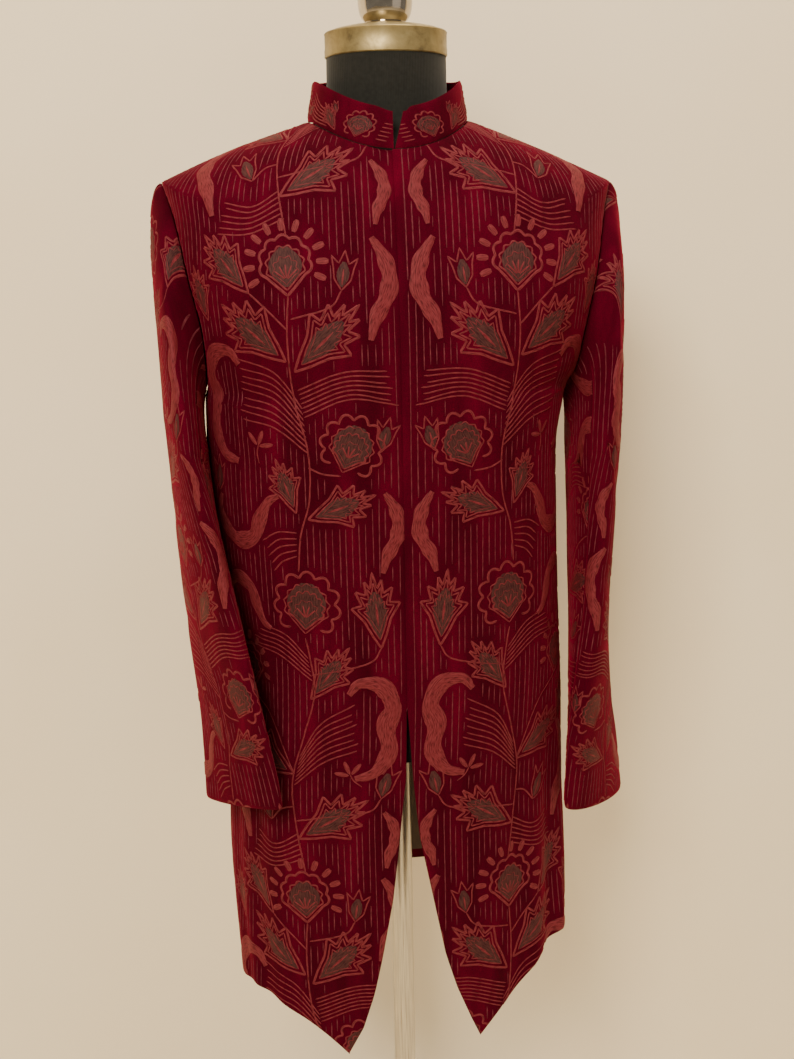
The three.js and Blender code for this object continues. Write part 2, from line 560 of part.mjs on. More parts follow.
function tubeNormal(side, down, turn) {
  const step = 0.01;
  const low = Math.min(down + step, 2);
  const along = sleevePoint(side, low - 2 * step, turn).sub(sleevePoint(side, low, turn));
  return tubeAround(side, down, turn).cross(along).normalize().multiplyScalar(side);
}

// ---- the dress form -----------------------------------------------------------------------------
function torsoRing(t, count) {
  const rows = TORSO.map((row, n) => ({ ...row, n }));
  const get = (column) => between(rows, "n", t, column);
  const side = vec(get("x"), 0, get("zs"));
  const square = get("square");
  const ring = [];
  for (let j = 0; j < count; j++) {
    const quarter = Math.floor((4 * j) / count);
    const share = (4 * j) / count - quarter;
    const face = quarter === 0 || quarter === 3 ? -1 : 1;
    const y = get(face < 0 ? "yf" : "yb");
    const z = get(face < 0 ? "zf" : "zb");
    const p1 = vec(side.x * square, y, z);
    const p2 = vec(side.x, y * square, side.z);
    const along = quarter % 2 === 0 ? share : 1 - share;
    const point = bezier(vec(0, y, z), p1, p2, side, along);
    if (quarter >= 2) point.x = -point.x;
    const outward = THREE.MathUtils.smoothstep(-point.x, RAISED.from, RAISED.to);
    point.z += RAISED_SHOULDER * outward * THREE.MathUtils.smoothstep(point.z, RAISED.low, RAISED.high);
    ring.push(point);
  }
  return ring;
}
function torso(count, steps) {
  const rings = [];
  for (let i = 0; i <= steps; i++) rings.push(torsoRing(((TORSO.length - 1) * i) / steps, count));
  const points = rings.flat();
  const faces = [];
  for (let i = 0; i < steps; i++)
    for (let j = 0; j < count; j++) {
      const [a, b] = [i * count + j, i * count + ((j + 1) % count)];
      faces.push([a, b, b + count], [a, b + count, a + count]);
    }
  points.push(vec(0, 0, TORSO_BOTTOM_Z), vec(0, 0, NECK_TOP_Z));
  const [under, over] = [points.length - 2, points.length - 1];
  for (let j = 0; j < count; j++) {
    faces.push([under, (j + 1) % count, j]);
    faces.push([over, steps * count + j, steps * count + ((j + 1) % count)]);
  }
  return meshOf("form_torso", points, faces, COLOURS.formCloth, 0.95, 0);
}

// A turned piece from its profile of radius and height, which starts and ends on the axis.
function turned(name, profile, z, segments, colour, roughness) {
  const geometry = new THREE.LatheGeometry(profile.map(([r, h]) => new THREE.Vector2(r, h)), segments);
  const material = new THREE.MeshStandardMaterial({ color: colour, roughness, metalness: 1 });
  const mesh = new THREE.Mesh(geometry, material);
  mesh.name = name;
  mesh.rotation.x = Math.PI / 2; // the lathe's axis stands up
  mesh.position.z = z;
  return mesh;
}
const CAP_PROFILE = [
  // columns: radius, height
  [0, 0],
  [CAP.radius - 1, 0],
  [CAP.radius, 1],
  [CAP.radius, CAP.height - 1.5],
  [CAP.radius - 2, CAP.height],
  [42, CAP.height + 4.5],
  [24, CAP.height + 6.5],
  [0, CAP.height + 6.5],
];
const FINIAL_PROFILE = [
  [0, 0],
  [21, 0],
  [22.5, 3],
  [25.5, 9],
  [27, 17],
  [27.4, 26],
  [26, 38],
  [22.5, 49],
  [17, 58],
  [9.5, 64.5],
  [0, 67],
];
const SOCKET_PROFILE = [
  [0, 0],
  [19, 0],
  [20, 1],
  [20, 26],
  [46, 28],
  [47, 29],
  [47, 32],
  [0, 32],
];
const BASE_PROFILE = [
  [0, 0],
  [BASE.radius - 1, 0],
  [BASE.radius, 1],
  [BASE.radius, 4],
  [BASE.radius - 3, 7],
  [60, BASE.height - 1],
  [32, BASE.height],
  [30, BASE.height + BASE.socket - 2],
  [28, BASE.height + BASE.socket],
  [0, BASE.height + BASE.socket],
];

// ---- assembly -----------------------------------------------------------------------------------
const part = new THREE.Group();
const coat = new THREE.Group();
coat.add(
  front("front_left", 1, 13),
  front("front_right", -1, 13),
  ...backAndLining(20),
  collar(30),
);
const backSplit = TURNS.length - SPLIT;
for (const [word, side] of [
  ["left", 1],
  ["right", -1],
])
  coat.add(
    sleeve(`sleeve_${word}_top`, side, SPLIT, backSplit - SPLIT),
    sleeve(`sleeve_${word}_under`, side, backSplit, 2 * SPLIT),
  );

const SIT = 0.3; // between metal pieces that stand on each other
const socketHeight = SOCKET_PROFILE[SOCKET_PROFILE.length - 1][1];
const capTop = NECK_TOP_Z + SIT + CAP_PROFILE[CAP_PROFILE.length - 1][1];
const baseTop = BASE.height + BASE.socket;
const socketZ = TORSO_BOTTOM_Z - SIT - socketHeight;
const poleProfile = [
  [0, 0],
  [POLE_R, 0],
  [POLE_R, socketZ - baseTop - 2 * SIT],
  [0, socketZ - baseTop - 2 * SIT],
];
const form = new THREE.Group();
form.add(
  torso(32, 22),
  turned("neck_cap", CAP_PROFILE, NECK_TOP_Z + SIT, 40, COLOURS.brass, 0.5),
  turned("finial", FINIAL_PROFILE, capTop + SIT, 28, COLOURS.steel, 0.12),
  turned("pole_socket", SOCKET_PROFILE, socketZ, 28, COLOURS.steel, 0.3),
  turned("pole", poleProfile, baseTop + SIT, 24, COLOURS.steel, 0.25),
  turned("base", BASE_PROFILE, 0, 48, COLOURS.steel, 0.35),
);
part.add(coat, form);

export default part;
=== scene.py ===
# %% [markdown]
# # A velvet sherwani on its dress form
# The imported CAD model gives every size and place. This notebook dresses it: cloth panels on the same cut, raised
# thread embroidery, and the cloth, brass and steel of the form. Lengths in the tables are millimetres, and one
# function turns them to Blender's metres.

# %% Load the frame
import math

import bpy
import numpy as np
from mathutils import Matrix, Vector


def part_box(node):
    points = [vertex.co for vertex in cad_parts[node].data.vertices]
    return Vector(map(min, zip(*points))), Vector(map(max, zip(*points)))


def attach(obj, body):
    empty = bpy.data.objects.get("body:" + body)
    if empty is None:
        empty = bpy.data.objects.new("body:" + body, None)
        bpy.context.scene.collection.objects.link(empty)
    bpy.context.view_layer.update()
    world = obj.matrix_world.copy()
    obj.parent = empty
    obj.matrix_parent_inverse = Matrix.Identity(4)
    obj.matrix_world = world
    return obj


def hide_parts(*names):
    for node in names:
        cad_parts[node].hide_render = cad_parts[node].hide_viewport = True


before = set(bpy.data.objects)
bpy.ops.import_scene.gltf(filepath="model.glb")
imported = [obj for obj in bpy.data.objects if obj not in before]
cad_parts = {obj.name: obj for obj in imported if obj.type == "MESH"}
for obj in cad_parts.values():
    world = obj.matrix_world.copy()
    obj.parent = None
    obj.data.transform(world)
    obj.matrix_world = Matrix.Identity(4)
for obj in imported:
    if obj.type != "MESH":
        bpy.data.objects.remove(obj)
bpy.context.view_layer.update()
MM = 0.001
bpy.ops.object.select_all(action="DESELECT")

# %% [markdown]
# ## Camera
# The camera stands a little to the wearer's right, at the height of the chest, and looks slightly down. Its place
# is worked out from the stand's axis, so it holds for any size of picture. An aim of 14 degrees down keeps the
# finial at the picture's top edge and the tips of the fronts near its bottom edge.

# %% Camera
IMAGE = (794, 1059)
FOCAL_PX = 1250.0
SENSOR_MM = 36.0
# away and height in millimetres, the rest in degrees
CAMERA = {"away": 1330.0, "height": 1357.0, "round": -6.0, "down": 14.0, "aside": 0.09, "roll": -1.1}


def camera_axes():
    """The camera's place in millimetres, and its right, up and forward directions."""
    turn, down, aside, roll = (math.radians(CAMERA[k]) for k in ("round", "down", "aside", "roll"))
    place = Vector((math.sin(turn), -math.cos(turn), 0)) * CAMERA["away"] + Vector((0, 0, CAMERA["height"]))
    ahead = Vector((-math.sin(turn) * math.cos(down), math.cos(turn) * math.cos(down), -math.sin(down)))
    right = Vector((math.cos(turn), math.sin(turn), 0))
    up = right.cross(ahead)
    forward = ahead * math.cos(aside) + right * math.sin(aside)
    level = right * math.cos(aside) - ahead * math.sin(aside)
    return place, level * math.cos(roll) + up * math.sin(roll), up * math.cos(roll) - level * math.sin(roll), forward


place, right, up, forward = camera_axes()
bpy.ops.object.camera_add()
camera = bpy.context.object
camera.name = "camera"
camera.data.sensor_width = SENSOR_MM
camera.data.lens = FOCAL_PX / max(IMAGE) * SENSOR_MM
turned_axes = Matrix((right, up, -forward)).transposed().to_4x4()
camera.matrix_world = Matrix.Translation(place * MM) @ turned_axes
bpy.context.scene.camera = camera
print("lens:", round(camera.data.lens, 2), "mm")

# %% [markdown]
# ## Colours and nodes
# Colours are written as sRGB hex values, the way a maker's swatch card gives them, and one function turns them to
# the linear values that a shader wants. Another adds a node with its settings and its links on both sides, so that a
# finish reads as a short list of nodes.


# %% Helpers for colours and nodes
def colour(code):
    """An sRGB hex value as linear red, green, blue and alpha."""
    parts = [int(code[i : i + 2], 16) / 255 for i in (1, 3, 5)]
    linear = [p / 12.92 if p <= 0.04045 else ((p + 0.055) / 1.055) ** 2.4 for p in parts]
    return (*linear, 1.0)


def node(tree, kind, settings=None, into=None, **inputs):
    """Adds a node. Inputs are values or sockets to link from, and the first output is linked into a socket."""
    made = tree.nodes.new(kind)
    for key, value in (settings or {}).items():
        if key != "stops":
            setattr(made, key, value)
            continue
        elements = made.color_ramp.elements
        while len(elements) < len(value):
            elements.new(0.5)
        for element, (at, code) in zip(elements, value):
            element.position = at
            element.color = colour(code)
    for key, value in inputs.items():
        socket = made.inputs[int(key[1:])] if key[0] == "i" and key[1:].isdigit() else made.inputs[key]
        if isinstance(value, bpy.types.NodeSocket):
            tree.links.new(value, socket)
        else:
            socket.default_value = value
    if into:
        tree.links.new(made.outputs[0], into)
    return made


def material(name, **shell):
    """A material with its shell's constants set on the shader's own sockets. Returns it, its tree and shader."""
    made = bpy.data.materials.new(name)
    made.use_nodes = True
    tree = made.node_tree
    shader = tree.nodes["Principled BSDF"]
    for key, value in shell.items():
        shader.inputs[key.replace("_", " ")].default_value = value
    return made, tree, shader


print("helpers ready")

# %% [markdown]
# ## Floor and wall
# The backdrop is one sheet of painted plaster. It sweeps up from the floor into a wall close behind the stand, so
# that the coat throws a soft shadow on it. It is a grid of one column, and its rows are set on the sweep's side view.
# From behind, the sheet lets sight and lamplight through, so the coat's back can be looked at too.

# %% Floor and wall
ROOM_WIDTH = 12.0
FLOOR_START, WALL_TOP = -6.0, 4.5
WALL_BEHIND = 0.27
SWEEP_RADIUS = 0.06
SWEEP_FROM, SWEEP_LINES = 0.2, 8  # the first line's turn, and how many lines make the curve
# distance behind the stand and height of each line of the backdrop, in metres
SWEEP = [(FLOOR_START, 0.0), (WALL_BEHIND - SWEEP_RADIUS, 0.0)]
for turn in np.linspace(SWEEP_FROM, math.pi / 2, SWEEP_LINES):
    SWEEP.append((WALL_BEHIND - SWEEP_RADIUS * (1 - math.sin(turn)), SWEEP_RADIUS * (1 - math.cos(turn))))
SWEEP += [(WALL_BEHIND, WALL_TOP)]

plaster, tree, shader = material("matt emulsion on plaster", Roughness=0.85)
spot = node(tree, "ShaderNodeTexCoord").outputs["Object"]
clouds = node(tree, "ShaderNodeTexNoise", Vector=spot, Scale=3.0, Detail=4.0).outputs["Fac"]
stops = (0.3, "#f5e6c8"), (0.7, "#f8ebd0")
node(tree, "ShaderNodeValToRGB", {"stops": stops}, shader.inputs["Base Color"], Fac=clouds)
from_behind = node(tree, "ShaderNodeNewGeometry").outputs["Backfacing"]
lamplight = node(tree, "ShaderNodeLightPath").outputs["Is Shadow Ray"]
see_through = node(tree, "ShaderNodeMath", {"operation": "MAXIMUM"}, i0=from_behind, i1=lamplight).outputs["Value"]
clear = node(tree, "ShaderNodeBsdfTransparent").outputs["BSDF"]
surface = tree.nodes["Material Output"].inputs["Surface"]
node(tree, "ShaderNodeMixShader", None, surface, Fac=see_through, i1=shader.outputs["BSDF"], i2=clear)

bpy.ops.mesh.primitive_grid_add(x_subdivisions=1, y_subdivisions=len(SWEEP) - 1, size=2)
backdrop = bpy.context.object
backdrop.name = "backdrop"
places = [(x * ROOM_WIDTH / 2, y, z) for y, z in SWEEP for x in (-1, 1)]
backdrop.data.vertices.foreach_set("co", np.array(places, np.float32).ravel())
backdrop.data.update()
bpy.ops.object.shade_smooth_by_angle(angle=math.radians(40))
backdrop.data.materials.append(plaster)
print("backdrop lines:", len(SWEEP))

# %% [markdown]
# ## Light
# A large soft key light from the upper left makes the pile glow on the chest and lets the wearer's left side fall
# into shade, and a weak fill comes from the right. One lamp above the stand brightens the wall, and one behind it
# reaches the coat's back. The world gives a little warm light to the cloth, and a pale room to the camera.

# %% Light
world = bpy.data.worlds.new("room")
bpy.context.scene.world = world
world.use_nodes = True
room = world.node_tree
room_light = room.nodes["Background"]
room_light.inputs["Color"].default_value = colour("#e8dccb")
room_light.inputs["Strength"].default_value = 0.36
seen_room = node(room, "ShaderNodeBackground", Color=colour("#f2dfbf"), Strength=1.02).outputs["Background"]
seen = node(room, "ShaderNodeLightPath").outputs["Is Camera Ray"]
surface = room.nodes["World Output"].inputs["Surface"]
node(room, "ShaderNodeMixShader", None, surface, Fac=seen, i1=room_light.outputs["Background"], i2=seen_room)

LIGHTS = [
    {"name": "key", "at": (-1.0, -2.5, 2.9), "aim": (0, 0, 1.15), "size": 1.1, "watts": 134, "tint": "#fff0d8"},
    {"name": "fill", "at": (2.2, -2.2, 1.6), "aim": (0, 0, 1.0), "size": 2.2, "watts": 7, "tint": "#ffeedd"},
    {"name": "wall", "at": (0.6, -0.4, 3.8), "aim": (0.2, 0.3, 1.0), "size": 1.6, "watts": 62, "tint": "#ffeed6"},
    {"name": "back", "at": (0.8, 2.8, 2.4), "aim": (0, 0, 1.1), "size": 1.8, "watts": 45, "tint": "#fff4e8"},
]
for row in LIGHTS:
    bpy.ops.object.light_add(type="AREA", location=row["at"])
    light = bpy.context.object
    light.name = row["name"] + "_light"
    light.data.size = row["size"]
    light.data.energy = row["watts"]
    light.data.color = colour(row["tint"])[:3]
    light.rotation_euler = (Vector(row["aim"]) - Vector(row["at"])).to_track_quat("-Z", "Y").to_euler()
print("lights:", [row["name"] for row in LIGHTS])

# %% [markdown]
# ## The cut of the coat
# The coat is a stack of rows round the body, as in the CAD source: each row is one curve from the centre front or
# back to the side seam, the armhole or the shoulder seam. The tables below are the same sizes in millimetres, so
# the cloth lies exactly where the solids are.

# %% Sizes of the cut
CLOTH = 2.0
LINING = 1.0
LINING_GAP = 0.65
HALF_SEAM = 0.2
VENT_TOP_Z = 783
SLIT_TOP_Z = 890
# the left front laps over the right one, and the right one is tucked in by a cloth and a small gap
LAP = {"over": -5, "under": 10, "flat": 8, "blend": 34, "clear": 0.3, "from": 640, "to": 760, "cloth": 2.5}
COLLAR = {"rise": 38, "frontDrop": 3.5, "lean": 7, "step": 0.35, "slant": 9, "ends": 0.93}
HANG = {"aside": -5, "from": 900, "to": 720}  # the skirt hangs to one side
RAISED = {"by": 5, "from": 70, "to": 190}  # the wearer's right shoulder stands higher
ARMPIT, SHOULDER, NECK = 7, 9.5, 11  # levels of the cut
LINING_TOP = 6.3  # the level where the lining ends


def table(columns, *rows):
    """Rows of numbers under named columns."""
    names = columns.split()
    return {name: np.array([row[k] for row in rows], float) for k, name in enumerate(names)}


SEAM_LINE = table(
    "level x wide z front back",
    (0.0, 187, 0, 540, 0, 0),
    (1.0, 188, 0, 640, 0, 0),
    (2.0, 187, 0, 740, 0, 0),
    (3.0, 184, 1, 840, 0, 0),
    (4.0, 178.5, 6, 940, 0, 0),
    (5.0, 175, 20, 1040, 0, 0),
    (6.0, 173.5, 24.5, 1120, 0, 0),
    (7.0, 181, 16, 1180, 0, 0),
    (7.5, 188, 5, 1200, 40, 40),
    (8.0, 195, 0, 1248, 58, 58),
    (8.5, 206, 0, 1300, 56, 55),
    (9.0, 216, 0, 1350, 38, 38),
    (9.5, 229, 0, 1391, 0, 0),
    (10.0, 188, 0, 1409, 0, 0),
    (10.5, 140, 0, 1429, 0, 0),
    (11.0, 81, 0, 1452, 0, 0),
)
MIDDLES = table(
    "level zf yf climb zb yb square",
    (0.0, 377, -142, 186, 556, 132, 0.64),
    (1.0, 604, -140, 30, 648, 128, 0.64),
    (2.0, 712, -138, 18, 743, 124, 0.64),
    (3.0, 818, -136, 12, 840, 119, 0.64),
    (4.0, 926, -135, 6, 938, 112, 0.64),
    (5.0, 1030, -135, 3, 1038, 107, 0.65),
    (6.0, 1115, -136, 0, 1120, 112, 0.66),
    (7.0, 1172, -137, 0, 1180, 118, 0.67),
    (7.5, 1195, -137, 0, 1208, 120, 0.565),
    (8.0, 1228, -135, 0, 1248, 121, 0.52),
    (8.5, 1264, -131, 0, 1290, 119, 0.52),
    (9.0, 1300, -125, 0, 1330, 114, 0.54),
    (9.5, 1334, -117, 0, 1368, 107, 0.58),
    (10.0, 1362, -110, 0, 1400, 99, 0.62),
    (10.5, 1391, -100, 0, 1430, 89, 0.64),
    (11.0, 1421, -88, 0, 1462, 76, 0.6),
)
VENTS = {
    1: table(
        "z frontY frontX frontZ backY backX backZ",
        (540, -48, -2, 32, 72, 30, 22),
        (640, -22, 0, 8, 42, 19, 6),
        (740, -5, 0, 0, 11, 6, 0),
        (783, 0, 0, 0, 0, 0, 0),
    ),
    -1: table(
        "z frontY frontX frontZ backY backX backZ",
        (540, -55, -4, -4, 46, 4, 18),
        (640, -16, 1, 0, 24, 4, 6),
        (740, -4, 1, 0, 5, 2, 0),
        (783, 0, 0, 0, 0, 0, 0),
    ),
}
FRONT_EDGES = table(
    "z left right",
    (474, 78, -70),
    (504, 65, -54),
    (545, 49, -41),
    (586, 37, -32),
    (655, 24, -19),
    (724, 11, -10),
    (792, 3, -4),
    (868, -4.5, -5),
    (SLIT_TOP_Z, LAP["over"], LAP["under"]),
)
FOLDS = {
    "frontLeft": table(
        "at top bottom lean width depth",
        (0.6, 900, 470, 0.1, 0.13, 9),
        (0.8, 860, 500, 0.02, 0.1, -4),
        (0.36, 1010, 560, 0.06, 0.12, 3),
    ),
    "frontRight": table(
        "at top bottom lean width depth",
        (0.72, 1060, 560, -0.1, 0.13, 5),
        (0.45, 930, 480, 0.08, 0.14, -3),
        (0.86, 1000, 700, -0.04, 0.1, 4),
    ),
    "backLeft": table(
        "at top bottom lean width depth",
        (0.55, 1060, 560, 0.08, 0.14, 6),
        (0.2, 980, 560, 0.03, 0.12, -4),
    ),
    "backRight": table(
        "at top bottom lean width depth",
        (0.42, 1020, 560, -0.05, 0.14, 5),
        (0.74, 930, 600, 0.05, 0.12, -4),
    ),
}
FOLD_FULL, FOLD_EDGE = 0.62, 0.08  # a fold is full at this share of its length, and fades near the seam
ARMHOLE_PULL, ARMHOLE_SLANT, ARMHOLE_DEPTH = 0.31, 0.45, 50  # how a row bends in to meet the armhole
print("rows in the cut:", len(MIDDLES["level"]))

# %% [markdown]
# The functions below read the tables. Between two rows of a table a value follows a smooth curve, so the cloth
# has no corners that a flat pattern wouldn't give it.


# %% Functions of the cut
def mix(a, b, t):
    return a + (b - a) * t


def smoothstep(x, low, high):
    t = np.clip((np.asarray(x, float) - low) / (high - low), 0, 1)
    return t * t * (3 - 2 * t)


def between(rows, key, at, column, curved=True):
    """A value between the rows of a table: rounded through the rows, or straight."""
    order = np.argsort(rows[key])
    xs, ys = rows[key][order], rows[column][order]
    at = np.clip(at, xs[0], xs[-1])
    b = np.clip(np.searchsorted(xs, at), 1, len(xs) - 1)
    a = b - 1
    step = xs[b] - xs[a]
    t = (at - xs[a]) / step
    if not curved:
        return mix(ys[a], ys[b], t)
    before, after = np.maximum(a - 1, 0), np.minimum(b + 1, len(xs) - 1)
    m0 = (ys[b] - ys[before]) / (xs[b] - xs[before]) * step
    m1 = (ys[after] - ys[a]) / (xs[after] - xs[a]) * step
    t2, t3 = t * t, t * t * t
    return mix(ys[a], ys[b], 3 * t2 - 2 * t3) + (t3 - 2 * t2 + t) * m0 + (t3 - t2) * m1


def bezier(p0, p1, p2, p3, t):
    t = np.asarray(t, float)[..., None]
    s = 1 - t
    return p0 * s**3 + 3 * p1 * s * s * t + 3 * p2 * s * t * t + p3 * t**3


print("half way up a smooth step:", float(smoothstep(0.5, 0, 1)))

# %% [markdown]
# A row of the coat is a single bent curve. It leaves the middle square to it, bows round the chest or the back, and
# arrives at the side seam or slants in to the armhole. The folds then press it inwards.


# %% A row of the coat
SEARCH_SHARES = (-0.2, 0.8)
HALVINGS = 22


def seam_value(level, column):
    """The seam line is straight where it turns a corner: at the armpit and at the shoulder's end."""
    levels = SEAM_LINE["level"]
    if level <= ARMPIT:
        part = levels <= ARMPIT
    elif level <= SHOULDER:
        part = (levels >= ARMPIT) & (levels <= SHOULDER)
    else:
        part = levels >= SHOULDER
    rows = {name: values[part] for name, values in SEAM_LINE.items()}
    return float(between(rows, "level", level, column))


def middle(level, column):
    return float(between(MIDDLES, "level", level, column))


def plain_end(level, side, face):
    """The end of a row before the skirt's swing: side +1 is the wearer's left, face -1 the front."""
    x, z = seam_value(level, "x"), seam_value(level, "z")
    if side < 0:
        x += seam_value(level, "wide")
    y = face * seam_value(level, "front" if face < 0 else "back")
    if z < VENT_TOP_Z:
        panel = "front" if face < 0 else "back"
        dx, dy, dz = (float(between(VENTS[side], "z", z, panel + k)) for k in "XYZ")
        x, y, z = x + dx, y + dy, z + dz
    return np.array([side * x, y, z])


def settled(points, level):
    """The skirt hangs to one side, and one shoulder stands higher."""
    points = np.array(points, float)
    points[..., 0] += HANG["aside"] * smoothstep(HANG["from"] - points[..., 2], 0, HANG["from"] - HANG["to"])
    outward = smoothstep(-points[..., 0], RAISED["from"], RAISED["to"])
    points[..., 2] += RAISED["by"] * outward * smoothstep(level, ARMPIT, SHOULDER)
    return points


def fold_depth(piece, at, z):
    depth = np.zeros_like(at)
    rows = FOLDS[piece]
    for n in range(len(rows["at"])):
        f = {name: values[n] for name, values in rows.items()}
        along = np.clip((f["top"] - z) / (f["top"] - f["bottom"]), 0, 1)
        across = (at - f["at"] - f["lean"] * along) / f["width"]
        full = np.sin(np.minimum(along / FOLD_FULL, 1) * np.pi / 2)
        depth += f["depth"] * full * np.exp(-across * across * 2)
    return depth


def coat_row(level, at, side, face):
    """Points of one row on the coat's outer face, for shares from 0 at the middle to 1 at its end."""
    at = np.atleast_1d(np.asarray(at, float))
    letter = "f" if face < 0 else "b"
    z, y, square = middle(level, "z" + letter), middle(level, "y" + letter), middle(level, "square")
    end = plain_end(level, side, face)
    cut = float(smoothstep(abs(end[1]), 0, ARMHOLE_DEPTH)) * (level > ARMPIT)
    reach = mix(abs(y - end[1]) * square, math.hypot(end[0], y - end[1]) * ARMHOLE_PULL, cut)
    arrives = np.array([side * ARMHOLE_SLANT * cut, -face, 0.0])
    arrives *= reach / np.linalg.norm(arrives)
    p1 = np.array([end[0] * square, y, z + (middle(level, "climb") if face < 0 else 0)])
    across = np.abs(at)
    points = bezier(np.array([0, y, z]), p1, end - arrives, end, across)
    points[:, 0] *= np.where(at < 0, -1, 1)
    piece = ("front" if face < 0 else "back") + ("Left" if side > 0 else "Right")
    depth = fold_depth(piece, across, points[:, 2]) * smoothstep((1 - across) / FOLD_EDGE, 0, 1)
    away = points * [0.5, 1, 0]
    away /= np.maximum(np.linalg.norm(away, axis=1), 1e-6)[:, None]
    return settled(points - away * depth[:, None], level)


def off_middle(points, level):
    """How far to the wearer's left of the coat's own middle the points lie."""
    centre = np.array(points)
    centre[..., 0] = 0
    return points[..., 0] - settled(centre, level)[..., 0]


def front_edge(level, side):
    """How far along its row a front's edge lies."""
    low, high = SEARCH_SHARES
    for _ in range(HALVINGS):
        guess = (low + high) / 2
        point = coat_row(level, guess, side, -1)[0]
        edge = float(between(FRONT_EDGES, "z", point[2], "left" if side > 0 else "right", False))
        if side * (float(off_middle(point, level)) - edge) < 0:
            low = guess
        else:
            high = guess
    return (low + high) / 2


print("a row's end at the armpit:", plain_end(ARMPIT, 1, -1))

# %% [markdown]
# ## Panels
# A panel is a fine grid of points, with two measures for each point as on a paper pattern: how far across and
# how far up the cloth it lies, in millimetres. The measures place creases and embroidery. The outermost rows and
# columns lie close together, because the edge of a sewn or turned-in piece rolls under within a few millimetres.

# %% Grids of cloth
EDGE_STEPS = [0, 1.2, 3.0, 5.5]
ROLL = {"depth": 0.9, "width": 4.5}
ROW_STEP = 6.2


def edged(length, step):
    """Places from 0 to length, a step apart, and closer at both ends."""
    inner = np.linspace(EDGE_STEPS[-1] + step, length - EDGE_STEPS[-1] - step, max(2, round(length / step) - 2))
    return np.concatenate([EDGE_STEPS, inner, length - np.array(EDGE_STEPS[::-1])])


def row_levels():
    """Levels about 6 mm apart up the seam line, with one at the armpit and one at the shoulder's end."""
    path = np.linspace(0, NECK, 1101)
    ends = np.array([plain_end(level, 1, -1) for level in path])
    run = np.concatenate([[0], np.cumsum(np.linalg.norm(np.diff(ends, axis=0), axis=1))])
    levels = np.interp(edged(run[-1], ROW_STEP), run, path)
    for corner in (ARMPIT, SHOULDER):
        levels[np.argmin(np.abs(levels - corner))] = corner
    return levels


LEVELS = row_levels()


def grid_normals(points):
    """Directions square to the cloth, outwards."""
    across = np.gradient(points, axis=1)
    upward = np.gradient(points, axis=0)
    normal = np.cross(across, upward)
    return normal / np.maximum(np.linalg.norm(normal, axis=2), 1e-9)[..., None]


def measures(points, zero_column, zero_value, flat_rows):
    """Across and up, in millimetres along the cloth. Up is plain height in the first rows."""
    hops = np.diff(points, axis=1)
    level_hops = np.linalg.norm(hops[..., :2], axis=2)
    step = np.where(np.arange(len(points))[:, None] < flat_rows, level_hops, np.linalg.norm(hops, axis=2))
    across = np.concatenate([np.zeros((len(points), 1)), np.cumsum(step, axis=1)], axis=1)
    across += (zero_value - across[:, zero_column])[:, None]
    upward = np.array(points[..., 2])
    for i in range(max(flat_rows, 1), len(points)):
        below = np.stack([np.interp(across[i], across[i - 1], points[i - 1, :, k]) for k in range(3)], axis=1)
        lift = np.linalg.norm(points[i] - below, axis=1)
        upward[i] = np.interp(across[i], across[i - 1], upward[i - 1]) + lift
    return across, upward


class Panel:
    """A piece of cloth: its points, its normals and its measures."""

    def __init__(self, name, points, across, upward):
        self.name, self.points = name, points
        self.across, self.upward = across, upward
        self.normals = grid_normals(points)

    def moved(self, depth):
        """Moves the points in by depth and works out the normals again."""
        self.points = self.points - self.normals * depth[..., None]
        self.normals = grid_normals(self.points)

    def rolled(self):
        """Turns the panel's edges under."""
        s, t = self.across, self.upward
        near = np.minimum.reduce([s - s[:, :1], s[:, -1:] - s, t - t[:1], t[-1:] - t])
        self.moved(ROLL["depth"] * np.clip(1 - near / ROLL["width"], 0, 1) ** 2)


print("levels:", len(LEVELS), "from", LEVELS[0], "to", LEVELS[-1])

# %% [markdown]
# A front panel runs from its own edge to the side seam, and the right one is tucked under where the left one laps
# over it. The back is one panel from side seam to side seam.


# %% The front and back panels
FRONT = {"width": 232, "step": 5.8}
BACK = {"width": 470, "step": 5.9}


def front_panel(name, side):
    shares = edged(FRONT["width"], FRONT["step"]) / FRONT["width"]
    rows, starts = [], []
    for level in LEVELS:
        start = front_edge(level, side)
        points = coat_row(level, mix(start, 1, shares), side, -1)
        starts.append(float(off_middle(points[0], level)))
        if side < 0:
            tucked = 1 - smoothstep(-off_middle(points, level), LAP["flat"], LAP["blend"])
            lapped = tucked * smoothstep(points[:, 2], LAP["from"], LAP["to"])
            low, high = max(0, level - 0.1), min(NECK, level + 0.1)
            inward = np.array([0, middle(high, "zf") - middle(low, "zf"), middle(low, "yf") - middle(high, "yf")])
            points = points + inward / np.linalg.norm(inward) * (LAP["cloth"] + LAP["clear"]) * lapped[:, None]
        points[-1, 1] -= HALF_SEAM if not ARMPIT < level < SHOULDER else 0
        rows.append(points if side > 0 else points[::-1])
    points = np.array(rows)
    column = 0 if side > 0 else -1
    return Panel(name, points, *measures(points, column, np.array(starts), int((LEVELS <= ARMPIT).sum())))


def back_panel(name):
    shares = 1 - 2 * edged(BACK["width"], BACK["step"]) / BACK["width"]
    rows = []
    for level in LEVELS:
        left = coat_row(level, np.maximum(shares, 0), 1, 1)
        right_half = coat_row(level, np.maximum(-shares, 0), -1, 1)
        points = np.where(shares[:, None] >= 0, left, right_half)
        if not ARMPIT < level < SHOULDER:
            points[[0, -1], 1] += HALF_SEAM
        rows.append(points)
    points = np.array(rows)
    centre = int(np.argmin(np.abs(shares)))
    return Panel(name, points, *measures(points, centre, 0.0, int((LEVELS <= ARMPIT).sum())))


panels = {
    "front_left": front_panel("front_left", 1),
    "front_right": front_panel("front_right", -1),
    "back": back_panel("back"),
}
print({name: panel.points.shape[:2] for name, panel in panels.items()})

